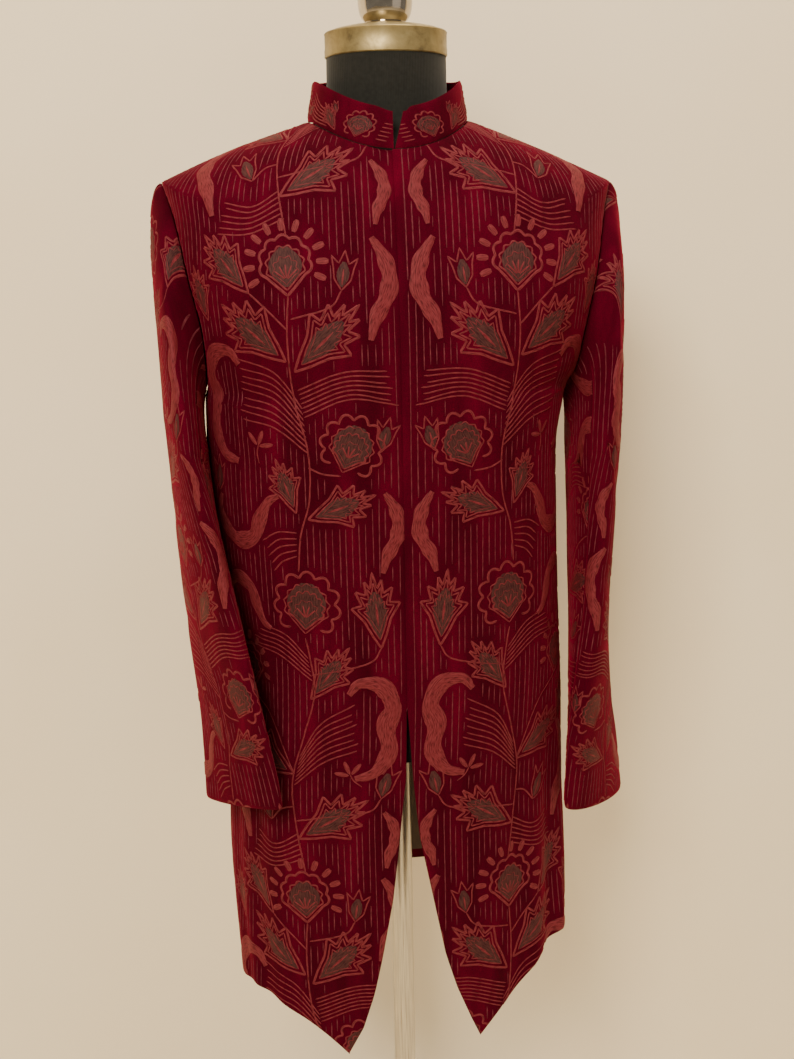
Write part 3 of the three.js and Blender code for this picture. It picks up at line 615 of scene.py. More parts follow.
# %% [markdown]
# ## Sleeves
# Each sleeve is a flat tube in two pieces, a wide top piece and a narrow under piece, that leaves the armhole
# where the panels' rows end.

# %% Grids of the sleeves
STATION = "z x y half thick turn rise out"
SLEEVES = {
    1: table(
        STATION,
        (1140, 212, -26, 84, 26, 4, 0, 22),
        (1050, 210, -32, 76, 23, 5, 4, 6),
        (945, 208, -38, 71, 21, 9, 6, 0),
        (857, 210, -41, 68, 22, 20, 8, 0),
        (790, 214, -42, 65, 18, 34, 9, -2),
        (712, 218, -40, 63, 15, 43, 9, -4),
    ),
    -1: table(
        STATION,
        (1140, 218, -30, 85, 21.5, 4, 0, 22),
        (1050, 211.5, -44, 78, 19, 13, 6, 6),
        (945, 198.5, -63, 73, 17, 22, 9, 0),
        (857, 186, -83, 70, 14, 28, 12, 0),
        (800, 180, -91, 67, 13, 34, 14, 0),
        (760, 177, -97, 65, 12, 38, 14, 0),
    ),
}
LEAVES_OUT = {"head": 0.95, "under": 0.35, "between": 0.9}
LEAVES_DOWN = {"head": 0.1, "under": 0.85, "between": 0.35}
LEAVES_LENGTH = {"head": 25, "under": 22, "between": 34}
LEAVES_FORWARD = 0.5
HANGS_FROM = {"head": 112, "under": 22, "between": 66}
TOP_FROM = 0.15  # the share of the way round where the top piece starts
TOP_WIDTH, UNDER_WIDTH = 215, 120
HEAD_LENGTH, ARM_LENGTH = 190, 400


def row_end(level, side, face):
    return settled(plain_end(level, side, face), level)


def sleeve_ring(side, z, turns):
    rows = SLEEVES[side]
    at = {column: float(between(rows, "z", z, column)) for column in STATION.split()}
    angle = turns * 2 * np.pi
    flat, deep = np.sin(angle) * at["half"], -np.cos(angle) * at["thick"]
    yaw = math.radians(at["turn"])
    x = at["x"] + deep * math.cos(yaw) - flat * math.sin(yaw)
    y = at["y"] - flat * math.cos(yaw) - deep * math.sin(yaw)
    height = at["z"] + at["rise"] * np.sin(angle) - at["out"] * np.cos(angle)
    return np.stack([side * x, y, height], axis=1)


def sleeve_row(side, down, turns):
    """A ring of the sleeve. down is 0 at the armhole, 1 below the underarm and 2 at the cuff."""
    turns = np.asarray(turns) % 1
    first, last = SLEEVES[side]["z"][0], SLEEVES[side]["z"][-1]
    if down >= 1:
        return sleeve_ring(side, mix(first, last, down - 1), turns)
    start = []
    for turn in turns:
        climb = turn * 2 if turn < 0.5 else (1 - turn) * 2
        start.append(row_end(mix(ARMPIT, SHOULDER, climb), side, -1 if turn < 0.5 else 1))
    start = np.array(start) + [side * 2 * HALF_SEAM, 0, 0]
    end = sleeve_ring(side, first, turns)
    angle = turns * 2 * np.pi
    top, under = np.maximum(0, -np.cos(angle)), np.maximum(0, np.cos(angle))
    waist = 1 - top - under

    def blend(row):
        return row["head"] * top + row["under"] * under + row["between"] * waist

    leaves = np.stack([side * blend(LEAVES_OUT), -LEAVES_FORWARD * np.sin(angle), -blend(LEAVES_DOWN)], axis=1)
    p1 = start + leaves * blend(LEAVES_LENGTH)[:, None]
    p2 = end + np.stack([0 * top, 0 * top, blend(HANGS_FROM)], axis=1)
    return bezier(start, p1, p2, end, np.full(len(turns), down))


def sleeve_panel(name, side, from_turn, to_turn, width):
    turns = mix(from_turn, to_turn, edged(width, 5.8) / width)
    head, arm = edged(HEAD_LENGTH, 7)[:-3] / HEAD_LENGTH, edged(ARM_LENGTH, 6)[4:] / ARM_LENGTH
    downs = np.concatenate([head, [0.99], 1 + arm])
    rows = np.array([sleeve_row(side, down, turns) for down in downs])
    hop = rows[:, 1] - rows[:, 0]
    rows[:, 0] += hop / np.linalg.norm(hop, axis=1)[:, None] * HALF_SEAM
    hop = rows[:, -1] - rows[:, -2]
    rows[:, -1] -= hop / np.linalg.norm(hop, axis=1)[:, None] * HALF_SEAM
    rows = rows[::-1, ::side]
    across, upward = measures(rows, rows.shape[1] // 2, 0.0, 0)
    straight = int((downs >= 1).sum())
    across[straight:] = across[straight - 1]  # the rows of stitches run straight up into the sleeve's head
    return Panel(name, rows, across, upward - upward[:1])


for word, side in (("left", 1), ("right", -1)):
    for part, start, end, width in (
        ("top", TOP_FROM, 1 - TOP_FROM, TOP_WIDTH),
        ("under", 1 - TOP_FROM, 1 + TOP_FROM, UNDER_WIDTH),
    ):
        name = f"sleeve_{word}_{part}"
        panels[name] = sleeve_panel(name, side, start, end, width)
print("sleeve length:", round(float(np.ptp(panels["sleeve_left_top"].upward))), "mm")

# %% [markdown]
# ## Collar
# The collar is one straight band. It stands on the neckline, leans in, and drops a little towards its ends, and the
# end that laps over is slanted.


# %% Grid of the collar
COLLAR_WIDTH = 460
COLLAR_ENDS = {1: -0.015, -1: 0.023}  # where each end stops on its row: past the middle, and just short of it


def collar_panel():
    shares = 1 - 2 * edged(COLLAR_WIDTH, 5) / COLLAR_WIDTH
    neckline = []
    for share in shares:
        turn, side = abs(share), -1 if share < 0 else 1
        if turn > 0.5:
            neckline.append(coat_row(NECK, mix(1, COLLAR_ENDS[side], (turn - 0.5) * 2), side, -1)[0])
        else:
            neckline.append(coat_row(NECK, turn * 2, side, 1)[0])
    neckline = np.array(neckline)
    rows = []
    for height in edged(COLLAR["rise"], 4) / COLLAR["rise"]:
        out = neckline * [1, 1, 0]
        out /= np.linalg.norm(out, axis=1)[:, None]
        near = smoothstep(np.abs(shares), COLLAR["ends"], 1)
        points = neckline - out * COLLAR["lean"] * height
        points[:, 2] += COLLAR["step"] + height * (COLLAR["rise"] - COLLAR["frontDrop"] * near)
        points[:, 0] += COLLAR["slant"] * near * height * (shares > 0)
        rows.append(points)
    rows = np.array(rows)
    across, upward = measures(rows, rows.shape[1] // 2, 0.0, 0)
    return Panel("collar", rows, across, upward - upward[:1])


panels["collar"] = collar_panel()
print({name: panel.points.shape[:2] for name, panel in panels.items()})

# %% [markdown]
# ## Creases
# Velvet on a form lies almost smooth. It breaks into soft troughs only where it is pulled or pushed: from the
# armholes, above the slit, at the elbows and in the skirt. Each crease is placed on the pattern, from one point to
# another, with its own width and depth, and no two are alike.

# %% Creases
# columns: across and up at one end, across and up at the other, width, depth (below zero is a ridge)
CREASES = {
    "front_left": [
        (150, 905, 132, 560, 17, 3.2),
        (176, 830, 168, 590, 11, -2.0),
        (92, 800, 74, 600, 20, 1.6),
        (212, 1205, 150, 1120, 13, 1.8),
        (220, 1170, 178, 1050, 12, 1.3),
        (205, 1290, 170, 1210, 12, 1.2),
        (120, 1130, 60, 1100, 26, 0.8),
        (196, 985, 176, 880, 10, 1.5),
        (46, 1010, 22, 930, 16, 0.8),
        (30, 720, 52, 560, 12, -1.2),
    ],
    "front_right": [
        (-178, 960, -138, 800, 13, 3.4),
        (-152, 860, -120, 640, 16, -2.2),
        (-196, 900, -170, 700, 12, 2.2),
        (-208, 1195, -150, 1105, 14, 1.8),
        (-214, 1150, -188, 1020, 11, 1.6),
        (-200, 1285, -172, 1200, 12, 1.2),
        (-64, 1120, -118, 1085, 24, 0.7),
        (-80, 760, -66, 560, 18, 1.6),
        (-40, 700, -60, 570, 12, -1.0),
        (-24, 1040, -12, 960, 12, 0.7),
    ],
    "back": [
        (190, 1220, 120, 1130, 16, 1.8),
        (-196, 1215, -132, 1140, 15, 1.6),
        (60, 1050, -30, 1020, 22, 1.4),
        (-90, 1000, 10, 965, 20, 1.2),
        (120, 980, 96, 640, 18, 2.4),
        (-118, 960, -140, 620, 17, 2.6),
        (30, 860, 22, 580, 20, -1.8),
        (-44, 840, -52, 600, 15, 1.5),
        (196, 900, 184, 660, 12, 1.6),
        (-200, 940, -190, 700, 12, 1.8),
        (110, 1330, 150, 1250, 16, 0.9),
        (-120, 1340, -158, 1262, 14, 0.9),
    ],
    "sleeve_left_top": [
        (80, 600, 20, 560, 12, 1.6),
        (88, 520, 30, 470, 13, 1.9),
        (-84, 560, -30, 500, 12, 1.5),
        (84, 370, 24, 330, 12, 2.0),
        (-70, 390, -10, 350, 13, 1.4),
        (-86, 300, -30, 250, 11, 1.7),
        (70, 230, 10, 200, 12, 1.3),
        (-60, 160, 0, 120, 12, 1.2),
        (40, 120, 44, 10, 16, 1.6),
        (-36, 100, -30, 8, 15, -1.4),
        (10, 680, 6, 600, 16, 1.0),
    ],
    "sleeve_right_top": [
        (-82, 585, -24, 545, 12, 1.7),
        (-90, 500, -34, 450, 12, 2.0),
        (82, 575, 34, 520, 12, 1.5),
        (-86, 340, -20, 310, 13, 2.1),
        (72, 400, 14, 366, 12, 1.5),
        (88, 280, 36, 240, 12, 1.6),
        (-74, 215, -18, 180, 11, 1.4),
        (58, 150, 4, 118, 12, 1.2),
        (-44, 118, -40, 6, 15, 1.7),
        (30, 96, 36, 8, 15, -1.4),
        (-8, 676, -4, 590, 16, 1.0),
    ],
}


CREASE_BOW = 0.5  # how far a crease bows aside, in its own widths
SEAM_FREE = 14  # creases fade out this near to a seam


def creased(panel, rows):
    """Presses soft troughs into a panel, deepest at the middle of each and gone at its ends."""
    depth = np.zeros_like(panel.across)
    for s0, t0, s1, t1, width, deep in rows:
        run = np.array([s1 - s0, t1 - t0], float)
        long = np.hypot(*run)
        ds, dt = panel.across - s0, panel.upward - t0
        along = (ds * run[0] + dt * run[1]) / long**2
        off = (ds * run[1] - dt * run[0]) / long
        bent = off - width * CREASE_BOW * np.sin(along * np.pi)
        fade = smoothstep(along, -0.15, 0.4) * (1 - smoothstep(along, 0.6, 1.15))
        depth += deep * np.exp(-((bent / width) ** 2)) * fade
    s = panel.across
    near = np.minimum(s - s[:, :1], s[:, -1:] - s)
    panel.moved(depth * smoothstep(near, 0, SEAM_FREE))


for name, rows in CREASES.items():
    creased(panels[name], rows)
for panel in panels.values():
    panel.rolled()
print("creases:", sum(len(rows) for rows in CREASES.values()))

# %% [markdown]
# ## Cloth shells
# Each panel starts as a plain grid primitive with the panel's count of rows and columns. Its vertices are then set
# on the cut, and a Solidify modifier gives the cloth its thickness inwards. The inner faces take the lining's cloth.
# The back has a lining of its own too, a thinner shell that lies just inside it and shows at the side vents.


# %% Making a cloth shell
UV_PER_MM = 0.01
LINING_TRIM = 4  # the lining's edges lie this many columns and rows inside the back's


def cloth_shell(name, panel, thickness):
    """A closed wall of cloth on a panel's points."""
    rows, cols = panel.points.shape[:2]
    bpy.ops.object.select_all(action="DESELECT")
    bpy.ops.mesh.primitive_grid_add(x_subdivisions=cols - 1, y_subdivisions=rows - 1, size=2)
    shell = bpy.context.object
    shell.name = shell.data.name = name
    shell.data.vertices.foreach_set("co", (panel.points * MM).astype(np.float32).ravel())
    pattern = np.stack([panel.across, panel.upward], axis=2).reshape(-1, 2)
    corners = np.zeros(len(shell.data.loops), int)
    shell.data.loops.foreach_get("vertex_index", corners)
    shell.data.uv_layers[0].data.foreach_set("uv", (pattern[corners] * UV_PER_MM).astype(np.float32).ravel())
    shell.data.update()
    thick = shell.modifiers.new("thickness", "SOLIDIFY")
    thick.thickness = thickness * MM
    thick.offset = -1
    thick.material_offset = 1
    bpy.ops.object.modifier_apply(modifier=thick.name)
    bpy.ops.object.shade_smooth_by_angle(angle=math.radians(50))
    return shell


def inner_panel(outer, name, depth, trim, top):
    """A panel that lies inside another, a few columns and rows short of its edges, up to a level."""
    points = (outer.points - outer.normals * depth)[trim : int((LEVELS <= top).sum()), trim:-trim]
    return Panel(name, points, *measures(points, points.shape[1] // 2, 0.0, len(points)))


panels["back_lining"] = inner_panel(panels["back"], "back_lining", CLOTH + LINING_GAP, LINING_TRIM, LINING_TOP)
shells = {}
for name, panel in panels.items():
    cloth = "lining_back" if name == "back_lining" else "velvet_" + name
    shells[name] = cloth_shell(cloth, panel, LINING if name == "back_lining" else CLOTH)
print("shells:", {name: len(shell.data.polygons) for name, shell in shells.items()})

# %% [markdown]
# ## Velvet
# The cloth is cotton velvet: a short upright pile on a woven ground. Its pile drinks light that falls straight on it
# and catches light that grazes it, so the shader is rough, with next to no gloss and a crimson sheen. Pressed and
# brushed pile changes tone in soft upright streaks about 26 mm wide. A grain of 0.8 mm stands for the pile, drawn
# coarser than it is so that it shows.

# %% Velvet
# cotton velvet: deep crimson, darkest where it faces the eye, with a soft glow where it turns away
STREAKS, PILE = 38.0, 1250.0  # to a metre
velvet, tree, shader = material(
    "cotton velvet",
    Roughness=0.92,
    Sheen_Weight=0.38,
    Sheen_Roughness=0.42,
    Sheen_Tint=colour("#cc1f4c"),
    Specular_IOR_Level=0.04,
)
spot = node(tree, "ShaderNodeTexCoord").outputs["Object"]
upright = node(tree, "ShaderNodeMapping", Vector=spot, Scale=(1, 1, 0.16)).outputs["Vector"]
brushed = node(tree, "ShaderNodeTexNoise", Vector=upright, Scale=STREAKS, Detail=3.0).outputs["Fac"]
pile = node(tree, "ShaderNodeTexNoise", Vector=spot, Scale=PILE, Detail=2.0).outputs["Fac"]
stops = (0.3, "#380010"), (0.55, "#490117"), (0.75, "#5a041e")
tone = node(tree, "ShaderNodeValToRGB", {"stops": stops}, Fac=brushed).outputs["Color"]
grain = node(tree, "ShaderNodeValToRGB", {"stops": ((0.3, "#8c8c8c"), (0.7, "#ffffff"))}, Fac=pile).outputs["Color"]
speckled = node(tree, "ShaderNodeMix", {"data_type": "RGBA", "blend_type": "MULTIPLY"}, Factor=0.6, i6=tone, i7=grain)
tree.links.new(speckled.outputs[2], shader.inputs["Base Color"])
node(tree, "ShaderNodeBump", None, shader.inputs["Normal"], Height=pile, Distance=0.35 * MM, Strength=0.5)
print("streaks", round(1 / STREAKS / MM), "mm wide, grain", round(1 / PILE / MM, 1), "mm")

# %% [markdown]
# ## Lining
# The lining is a plain weave of brown cotton. It is flatter and duller than the velvet, with fine level ribs for its
# threads and slow patches of tone where it has been pressed.

# %% Lining
# plain cotton: a dull brown, with a trace of sheen from loose fibres
lining, tree, shader = material("plain cotton lining", Roughness=0.8, Sheen_Weight=0.2, Specular_IOR_Level=0.25)
spot = node(tree, "ShaderNodeTexCoord").outputs["Object"]
patches = node(tree, "ShaderNodeTexNoise", Vector=spot, Scale=30.0, Detail=4.0).outputs["Fac"]
stops = (0.3, "#342a22"), (0.7, "#47382e")
node(tree, "ShaderNodeValToRGB", {"stops": stops}, shader.inputs["Base Color"], Fac=patches)
weave = node(tree, "ShaderNodeTexWave", {"bands_direction": "Z"}, Vector=spot, Scale=420.0, Distortion=0.6)
threads = weave.outputs["Fac"]
node(tree, "ShaderNodeBump", None, shader.inputs["Normal"], Height=threads, Distance=0.15 * MM, Strength=0.5)

for name, shell in shells.items():
    shell.data.materials.append(lining if name == "back_lining" else velvet)
    shell.data.materials.append(velvet if name == "collar" else lining)
print("finished shells:", len(shells))

# %% [markdown]
# ## Embroidery
# The velvet is covered with thread work in rose and mauve: fan flowers, ring flowers, toothed leaves, buds,
# scrolls and sheaves of fine curved rows, over upright rows of chain stitch. It is drawn flat first, in
# millimetres, as strokes. A stroke is a thread colour, a line, half widths along it and a height. All motifs stand
# on their own foot and point up, and a layout sets them out.

# %% Strokes
STEP = 3.0


def curve(points, step=STEP):
    """A smooth line through the points, in steps of a few millimetres."""
    points = np.asarray(points, float)
    if len(points) > 2:
        padded = np.concatenate([2 * points[:1] - points[1:2], points, 2 * points[-1:] - points[-2:-1]])
        t = np.linspace(0, 1, 9)[:-1, None]
        spans = []
        for a, b, c, d in zip(padded, padded[1:], padded[2:], padded[3:]):
            bend, twist = 2 * a - 5 * b + 4 * c - d, 3 * b - a - 3 * c + d
            spans.append(0.5 * (2 * b + (c - a) * t + bend * t**2 + twist * t**3))
        points = np.concatenate([*spans, points[-1:]])
    run = np.concatenate([[0], np.cumsum(np.hypot(*np.diff(points, axis=0).T))])
    wanted = np.linspace(0, run[-1], max(2, round(run[-1] / step) + 1))
    return np.stack([np.interp(wanted, run, points[:, k]) for k in (0, 1)], axis=1)


def line(points, width=1.9, thread="rose", height=0.55):
    """A row of chain stitch with tapered ends."""
    share = np.linspace(0, 1, len(points))
    half = width / 2 * np.clip(np.minimum(share, 1 - share) * len(points) / 1.5 + 0.45, 0, 1)
    return thread, points, half, height


def band(points, width, lobes=0.0, thread="rose", height=0.75, blunt=0.45):
    """A tapered band of packed stitches, with a wavy edge where it has lobes."""
    share = np.linspace(0, 1, len(points))
    half = width / 2 * np.sin(np.pi * np.clip(share, 0.02, 0.98)) ** blunt
    half = half * (1 + 0.13 * np.cos(lobes * 2 * np.pi * share))
    return thread, points, np.maximum(half, 0.7), height


def fill(halves, foot, top, thread="mauve", height=0.3):
    """A flat filling on the motif's own axis: half widths at even heights from foot to top."""
    y = np.linspace(foot, top, max(6, round((top - foot) / STEP)))
    half = np.interp(y, np.linspace(foot, top, len(halves)), halves)
    return thread, np.stack([0 * y, y], axis=1), half, height


print("a 60 mm line has", len(line(curve([(0, 0), (0, 60)]))[1]), "points")

# %% [markdown]
# A flower is a teardrop with a scalloped or toothed head, repeated smaller inside itself round a mauve filling. The
# fan flower has separate petals round it, and the ring flower a scalloped ring.


# %% Flowers
def scallops(centre, radius, first, last, count, depth, pointed=False):
    """An arc from one angle to another in lobes, or in teeth where pointed."""
    u = np.linspace(0, 1, count * 8 + 1)
    wave = np.abs(np.sin(count * np.pi * u)) if not pointed else 1 - np.abs(2 * (count * u % 1) - 1)
    r = radius + depth * wave
    angle = np.radians(first + (last - first) * u)
    return np.stack([centre[0] + r * np.cos(angle), centre[1] + r * np.sin(angle)], axis=1)


def drop(scale, count, depth, pointed=False, lift=0.0):
    """A teardrop outline standing on its point, scalloped or toothed over its head."""
    head = scallops((0, 27 * scale), 20 * scale, 212, -32, count, depth, pointed)
    edge = np.concatenate([[[0, 0]], head, [[0, 0]]]) + [0, lift]
    return curve_through(edge)


def curve_through(points, step=2.2):
    """Even steps along a line without smoothing it."""
    run = np.concatenate([[0], np.cumsum(np.hypot(*np.diff(points, axis=0).T))])
    wanted = np.linspace(0, run[-1], max(4, round(run[-1] / step)))
    return np.stack([np.interp(wanted, run, points[:, k]) for k in (0, 1)], axis=1)


def rays(centre, inner, outer, first, last, count, width):
    """Separate petals round a flower."""
    made = []
    for angle in np.radians(np.linspace(first, last, count)):
        way = np.array([math.cos(angle), math.sin(angle)])
        made.append(band(curve([centre + way * inner, centre + way * outer], 2.2), width, blunt=0.2))
    return made


# scale, lobes, depth, pointed, lift and width of each drop, from the outside in
FAN_DROPS = [(1.12, 7, 3.4, False, 0, 3.4), (0.82, 8, 3.2, True, 5, 2.2), (0.5, 6, 3.4, True, 10, 2.0)]
RING_DROPS = [(0.96, 9, 3.0, True, 4, 1.8), (0.72, 9, 3.2, False, 8, 3.0), (0.46, 6, 3.0, True, 12, 1.6)]


def drops(rows):
    return [line(drop(*shape), width) for *shape, width in rows]


def fan_flower():
    made = [fill([2, 10, 16, 18, 17, 12, 4], 8, 45)] + drops(FAN_DROPS)
    made += rays(np.array([0, 14]), 2, 14, 40, 140, 5, 2.8)
    made += rays(np.array([0, 30]), 29.5, 41, -26, 206, 11, 6.6)
    return made


def ring_flower():
    made = [fill([3, 11, 18, 21, 20, 15, 6], 9, 52)]
    made += [line(curve_through(scallops((0, 31), 26, 238, -58, 9, 6)), 3.2)]
    made += drops(RING_DROPS)
    made += rays(np.array([0, 19]), 1, 12, 45, 135, 4, 2.8)
    return made


print("strokes in a fan flower:", len(fan_flower()), "and a ring flower:", len(ring_flower()))

# %% [markdown]
# Leaves are toothed, in three lines one inside another round a mauve filling with a rose vein. Buds, sprigs and
# three kinds of thick bowed bands fill the gaps between the flowers.

# %% Leaves, buds and bands
LEAF_EDGE = [(0, 0), (-7, 14), (-13.5, 30), (-25, 45), (-14, 47), (-19, 62), (-8.5, 57), (-9, 72), (-3.6, 63), (0, 80)]


def leaf_line(scale, lift):
    left = np.array(LEAF_EDGE, float)
    right = left[::-1][1:] * [-1, 1]
    return curve_through(np.concatenate([left, right]) * scale + [0, lift])


def leaf():
    made = [fill([1, 4.5, 8.5, 12, 12, 8, 3], 10, 60)]
    made += [line(leaf_line(1, 0), 3.0), line(leaf_line(0.76, 9), 2.0), line(leaf_line(0.52, 17), 1.8)]
    made += [fill([0.8, 3.0, 4.6, 2.8, 0.8], 24, 48, "rose", 0.5)]
    return made


def bud():
    made = [fill([1, 6, 8, 6, 2], 3, 27)]
    edge = [(0, 0), (-8, 10), (-10, 22), (-13, 32), (-5, 25), (0, 38), (5, 25), (13, 32), (10, 22), (8, 10), (0, 0)]
    made += [line(curve_through(np.array(edge, float)), 2.0)]
    made += [band(curve([(0, 5), (0, 20)]), 3.4)]
    return made


def sprig():
    made = []
    for angle in (-62, 0, 58):
        turn = math.radians(angle)
        way = np.array([math.sin(turn), math.cos(turn)])
        made.append(band(curve([way * 2, way * 17], 2.2), 5.2))
    made.append(line(curve([(0, 2), (-1, -7), (-6, -16)]), 1.8))
    return made


SCROLL_WIDTH, BAND_WIDTH = 20, 18.5


def scroll():
    """A bowed band, thick in the middle, that opens to its own right."""
    bow = [(20, -46), (2, -40), (-11, -20), (-8, 4), (-14, 24), (-4, 44), (16, 47), (26, 36)]
    return [band(curve(bow), SCROLL_WIDTH, 4)]


def wave():
    """A long S of packed stitches."""
    bow = [(12, -52), (6, -30), (-6, -8), (-9, 10), (-4, 30), (8, 50)]
    return [band(curve(bow), BAND_WIDTH, 4)]


def hook():
    """A shallow cup with one curled end."""
    bow = [(-34, 30), (-40, 14), (-30, -6), (-10, -17), (12, -12), (22, 6), (34, 24), (46, 30)]
    return [band(curve(bow), BAND_WIDTH, 4)]


MOTIFS = {f.__name__: f for f in (fan_flower, ring_flower, leaf, bud, sprig, scroll, wave, hook)}
print("motifs:", list(MOTIFS))

# %% [markdown]
# A motif is drawn once and then placed many times, turned, sized and mirrored. A comb is a sheaf of fine rows side
# by side, from one line to another.


# %% Placing motifs and combs
THINNING = 0.6  # a smaller motif keeps most of its lines' width
COMB_WIDTH = 1.9


def placed(strokes, s, t, angle, size, flip):
    """Strokes turned clockwise by an angle, sized, and set at s and t. flip is -1 for a mirrored motif."""
    turn = math.radians(angle)
    axes = np.array([[math.cos(turn), -math.sin(turn)], [math.sin(turn), math.cos(turn)]])
    made = []
    for thread, points, half, height in strokes:
        made.append((thread, (points * [flip, 1] * size) @ axes + [s, t], half * size**THINNING, height))
    return made


def comb(start, end, count, bow):
    """Side by side strokes from one line to another, bowed to the side."""
    made = []
    (a, b), (c, d) = np.array(start, float), np.array(end, float)
    for u in np.linspace(0, 1, count):
        p, q = a + (b - a) * u, c + (d - c) * u
        way = q - p
        side = np.array([-way[1], way[0]]) / np.hypot(*way)
        middle = (p + q) / 2 + side * bow * (1 - 0.35 * u)
        stop = q - way * 0.08 * abs(math.sin(u * 7))
        made.append(line(curve([p, middle, stop]), COMB_WIDTH))
    return made


print("rows in a short comb:", len(comb(((0, 0), (0, 20)), ((60, 0), (60, 20)), 5, 4)))

# %% [markdown]
# The layout repeats two units up each panel, mirrored about the coat's middle. Each unit is 230 mm wide and 330 mm
# high, with one climbing stem. The tables give each motif's foot across and up, its turn, size and side.

# %% The two repeat units
REPEAT = 330
# motif, s, t, angle, size, flip
UNITS = [
    {
        "motifs": [
            ("fan_flower", 112, 258, 4, 1.05, 1),
            ("leaf", 116, 196, 50, 1.1, 1),
            ("leaf", 108, 186, -46, 1.12, 1),
            ("ring_flower", 66, 84, -22, 1.0, 1),
            ("scroll", 200, 150, 0, 1.2, -1),
            ("wave", 22, 264, 0, 0.95, 1),
            ("leaf", 152, 262, 42, 0.95, 1),
            ("hook", 174, 30, 4, 1.0, -1),
            ("wave", 17, 26, 0, 0.8, 1),
            ("leaf", 112, 46, 20, 0.72, 1),
            ("leaf", 100, 40, -70, 0.9, 1),
            ("sprig", 150, 112, -20, 1.0, 1),
            ("bud", 60, 262, -8, 1.0, 1),
            ("bud", 214, 60, -6, 1.0, 1),
            ("leaf", 206, 236, 16, 0.7, 1),
            ("bud", 26, 108, -16, 0.9, 1),
        ],
        "stems": [
            [(112, -14), (108, 24), (98, 60), (98, 110), (110, 160), (114, 215), (112, 258)],
            [(98, 92), (84, 86), (66, 84)],
            [(114, 226), (134, 246), (152, 262)],
            [(60, 262), (72, 246), (110, 236)],
        ],
        "combs": [
            (((102, 150), (97, 106)), ((172, 200), (170, 140)), 9, 13),
            (((100, 142), (106, 168)), ((8, 152), (14, 186)), 7, -12),
            (((112, 26), (113, 2)), ((150, 16), (140, -16)), 5, 5),
        ],
    },
    {
        "motifs": [
            ("ring_flower", 108, 246, -4, 1.12, 1),
            ("fan_flower", 184, 176, 14, 0.95, 1),
            ("scroll", 35, 146, 0, 1.12, 1),
            ("leaf", 122, 96, 64, 1.05, 1),
            ("leaf", 104, 180, -36, 0.88, 1),
            ("leaf", 118, 24, -58, 1.1, 1),
            ("wave", 204, 64, 0, 1.1, -1),
            ("leaf", 30, 236, 6, 1.0, -1),
            ("hook", 184, 284, 172, 0.9, 1),
            ("sprig", 62, 98, 24, 1.0, 1),
            ("bud", 148, 42, 30, 1.1, 1),
            ("bud", 30, 72, -14, 1.05, 1),
            ("wave", 20, 26, 4, 0.62, 1),
            ("leaf", 194, 116, 22, 0.74, 1),
            ("bud", 222, 226, 10, 0.9, 1),
        ],
        "stems": [
            [(112, -14), (120, 36), (124, 88), (112, 138), (100, 186), (104, 226), (108, 246)],
            [(122, 96), (150, 150), (184, 176)],
            [(122, 60), (136, 56), (148, 42)],
            [(30, 72), (42, 58), (80, 52), (120, 44)],
            [(30, 236), (44, 220), (102, 206)],
        ],
        "combs": [
            (((116, 116), (122, 84)), ((58, 176), (52, 128)), 8, -10),
            (((102, 200), (106, 224)), ((188, 228), (160, 256)), 6, 12),
            (((118, 30), (113, 2)), ((176, 20), (190, -12)), 6, -10),
        ],
    },
]


def unit(number, mirror, s, t, size=1.0):
    """One repeat unit's strokes, mirrored with mirror -1 and set at s and t."""
    made = []
    row = UNITS[number % 2]
    for name, at, up, angle, scale, flip in row["motifs"]:
        made += placed(MOTIFS[name](), at, up, angle, scale, flip)
    made += [line(curve(stem), 2.2) for stem in row["stems"]]
    for start, end, count, bow in row["combs"]:
        made += comb(start, end, count, bow)
    return placed(made, s, t, 0, size, mirror)


print("strokes in the units:", [len(unit(n, 1, 0, 0)) for n in (0, 1)])

# %% [markdown]
# Each panel then gets its own drawing. The units hang down the body from the shoulder and climb the sleeve from the
# cuff, a little smaller there.


# %% Drawings of the body and sleeves
TOP_UNIT = 1360  # height of the uppermost unit's foot on the body
UNITS_DOWN = 4
SLEEVE_UNITS = range(-1, 3)
SLEEVE_SIZE = 0.92
TOP_LAYOUT = {"lead": 112 * SLEEVE_SIZE, "lift": 20}
UNDER_LAYOUT = {"lead": 104, "lift": -150}


def body_drawing(sides):
    made = []
    for mirror in sides:
        for n in range(UNITS_DOWN):
            made += unit(n + 1, mirror, 0, TOP_UNIT - REPEAT * n)
    return made


def sleeve_drawing(mirror, lead, lift):
    made = []
    for n in SLEEVE_UNITS:
        made += unit(n, mirror, -lead * mirror, lift + REPEAT * SLEEVE_SIZE * n, SLEEVE_SIZE)
    return made


print("strokes on a front:", len(body_drawing([1])))

# %% [markdown]
# The collar is too low for the units, so it has a border of its own, mirrored about its middle.

# %% The collar's drawing
# motif, distance from the collar's end, height, turn, size
COLLAR_MOTIFS = [
    ("ring_flower", 36, 3, -6, 0.5),
    ("leaf", 60, 4, -50, 0.42),
    ("bud", 66, 22, -40, 0.36),
    ("fan_flower", 142, 4, 10, 0.5),
    ("leaf", 166, 5, -56, 0.42),
    ("bud", 120, 8, 60, 0.5),
]
COLLAR_COMBS = [(((72, 4), (78, 18)), ((120, 12), (112, 31)), 6), (((178, 4), (184, 20)), ((224, 10), (218, 30)), 6)]
DASHES = {"from": 5, "to": 16, "width": 1.7, "heights": (7, 11.5, 16, 20.5, 25)}


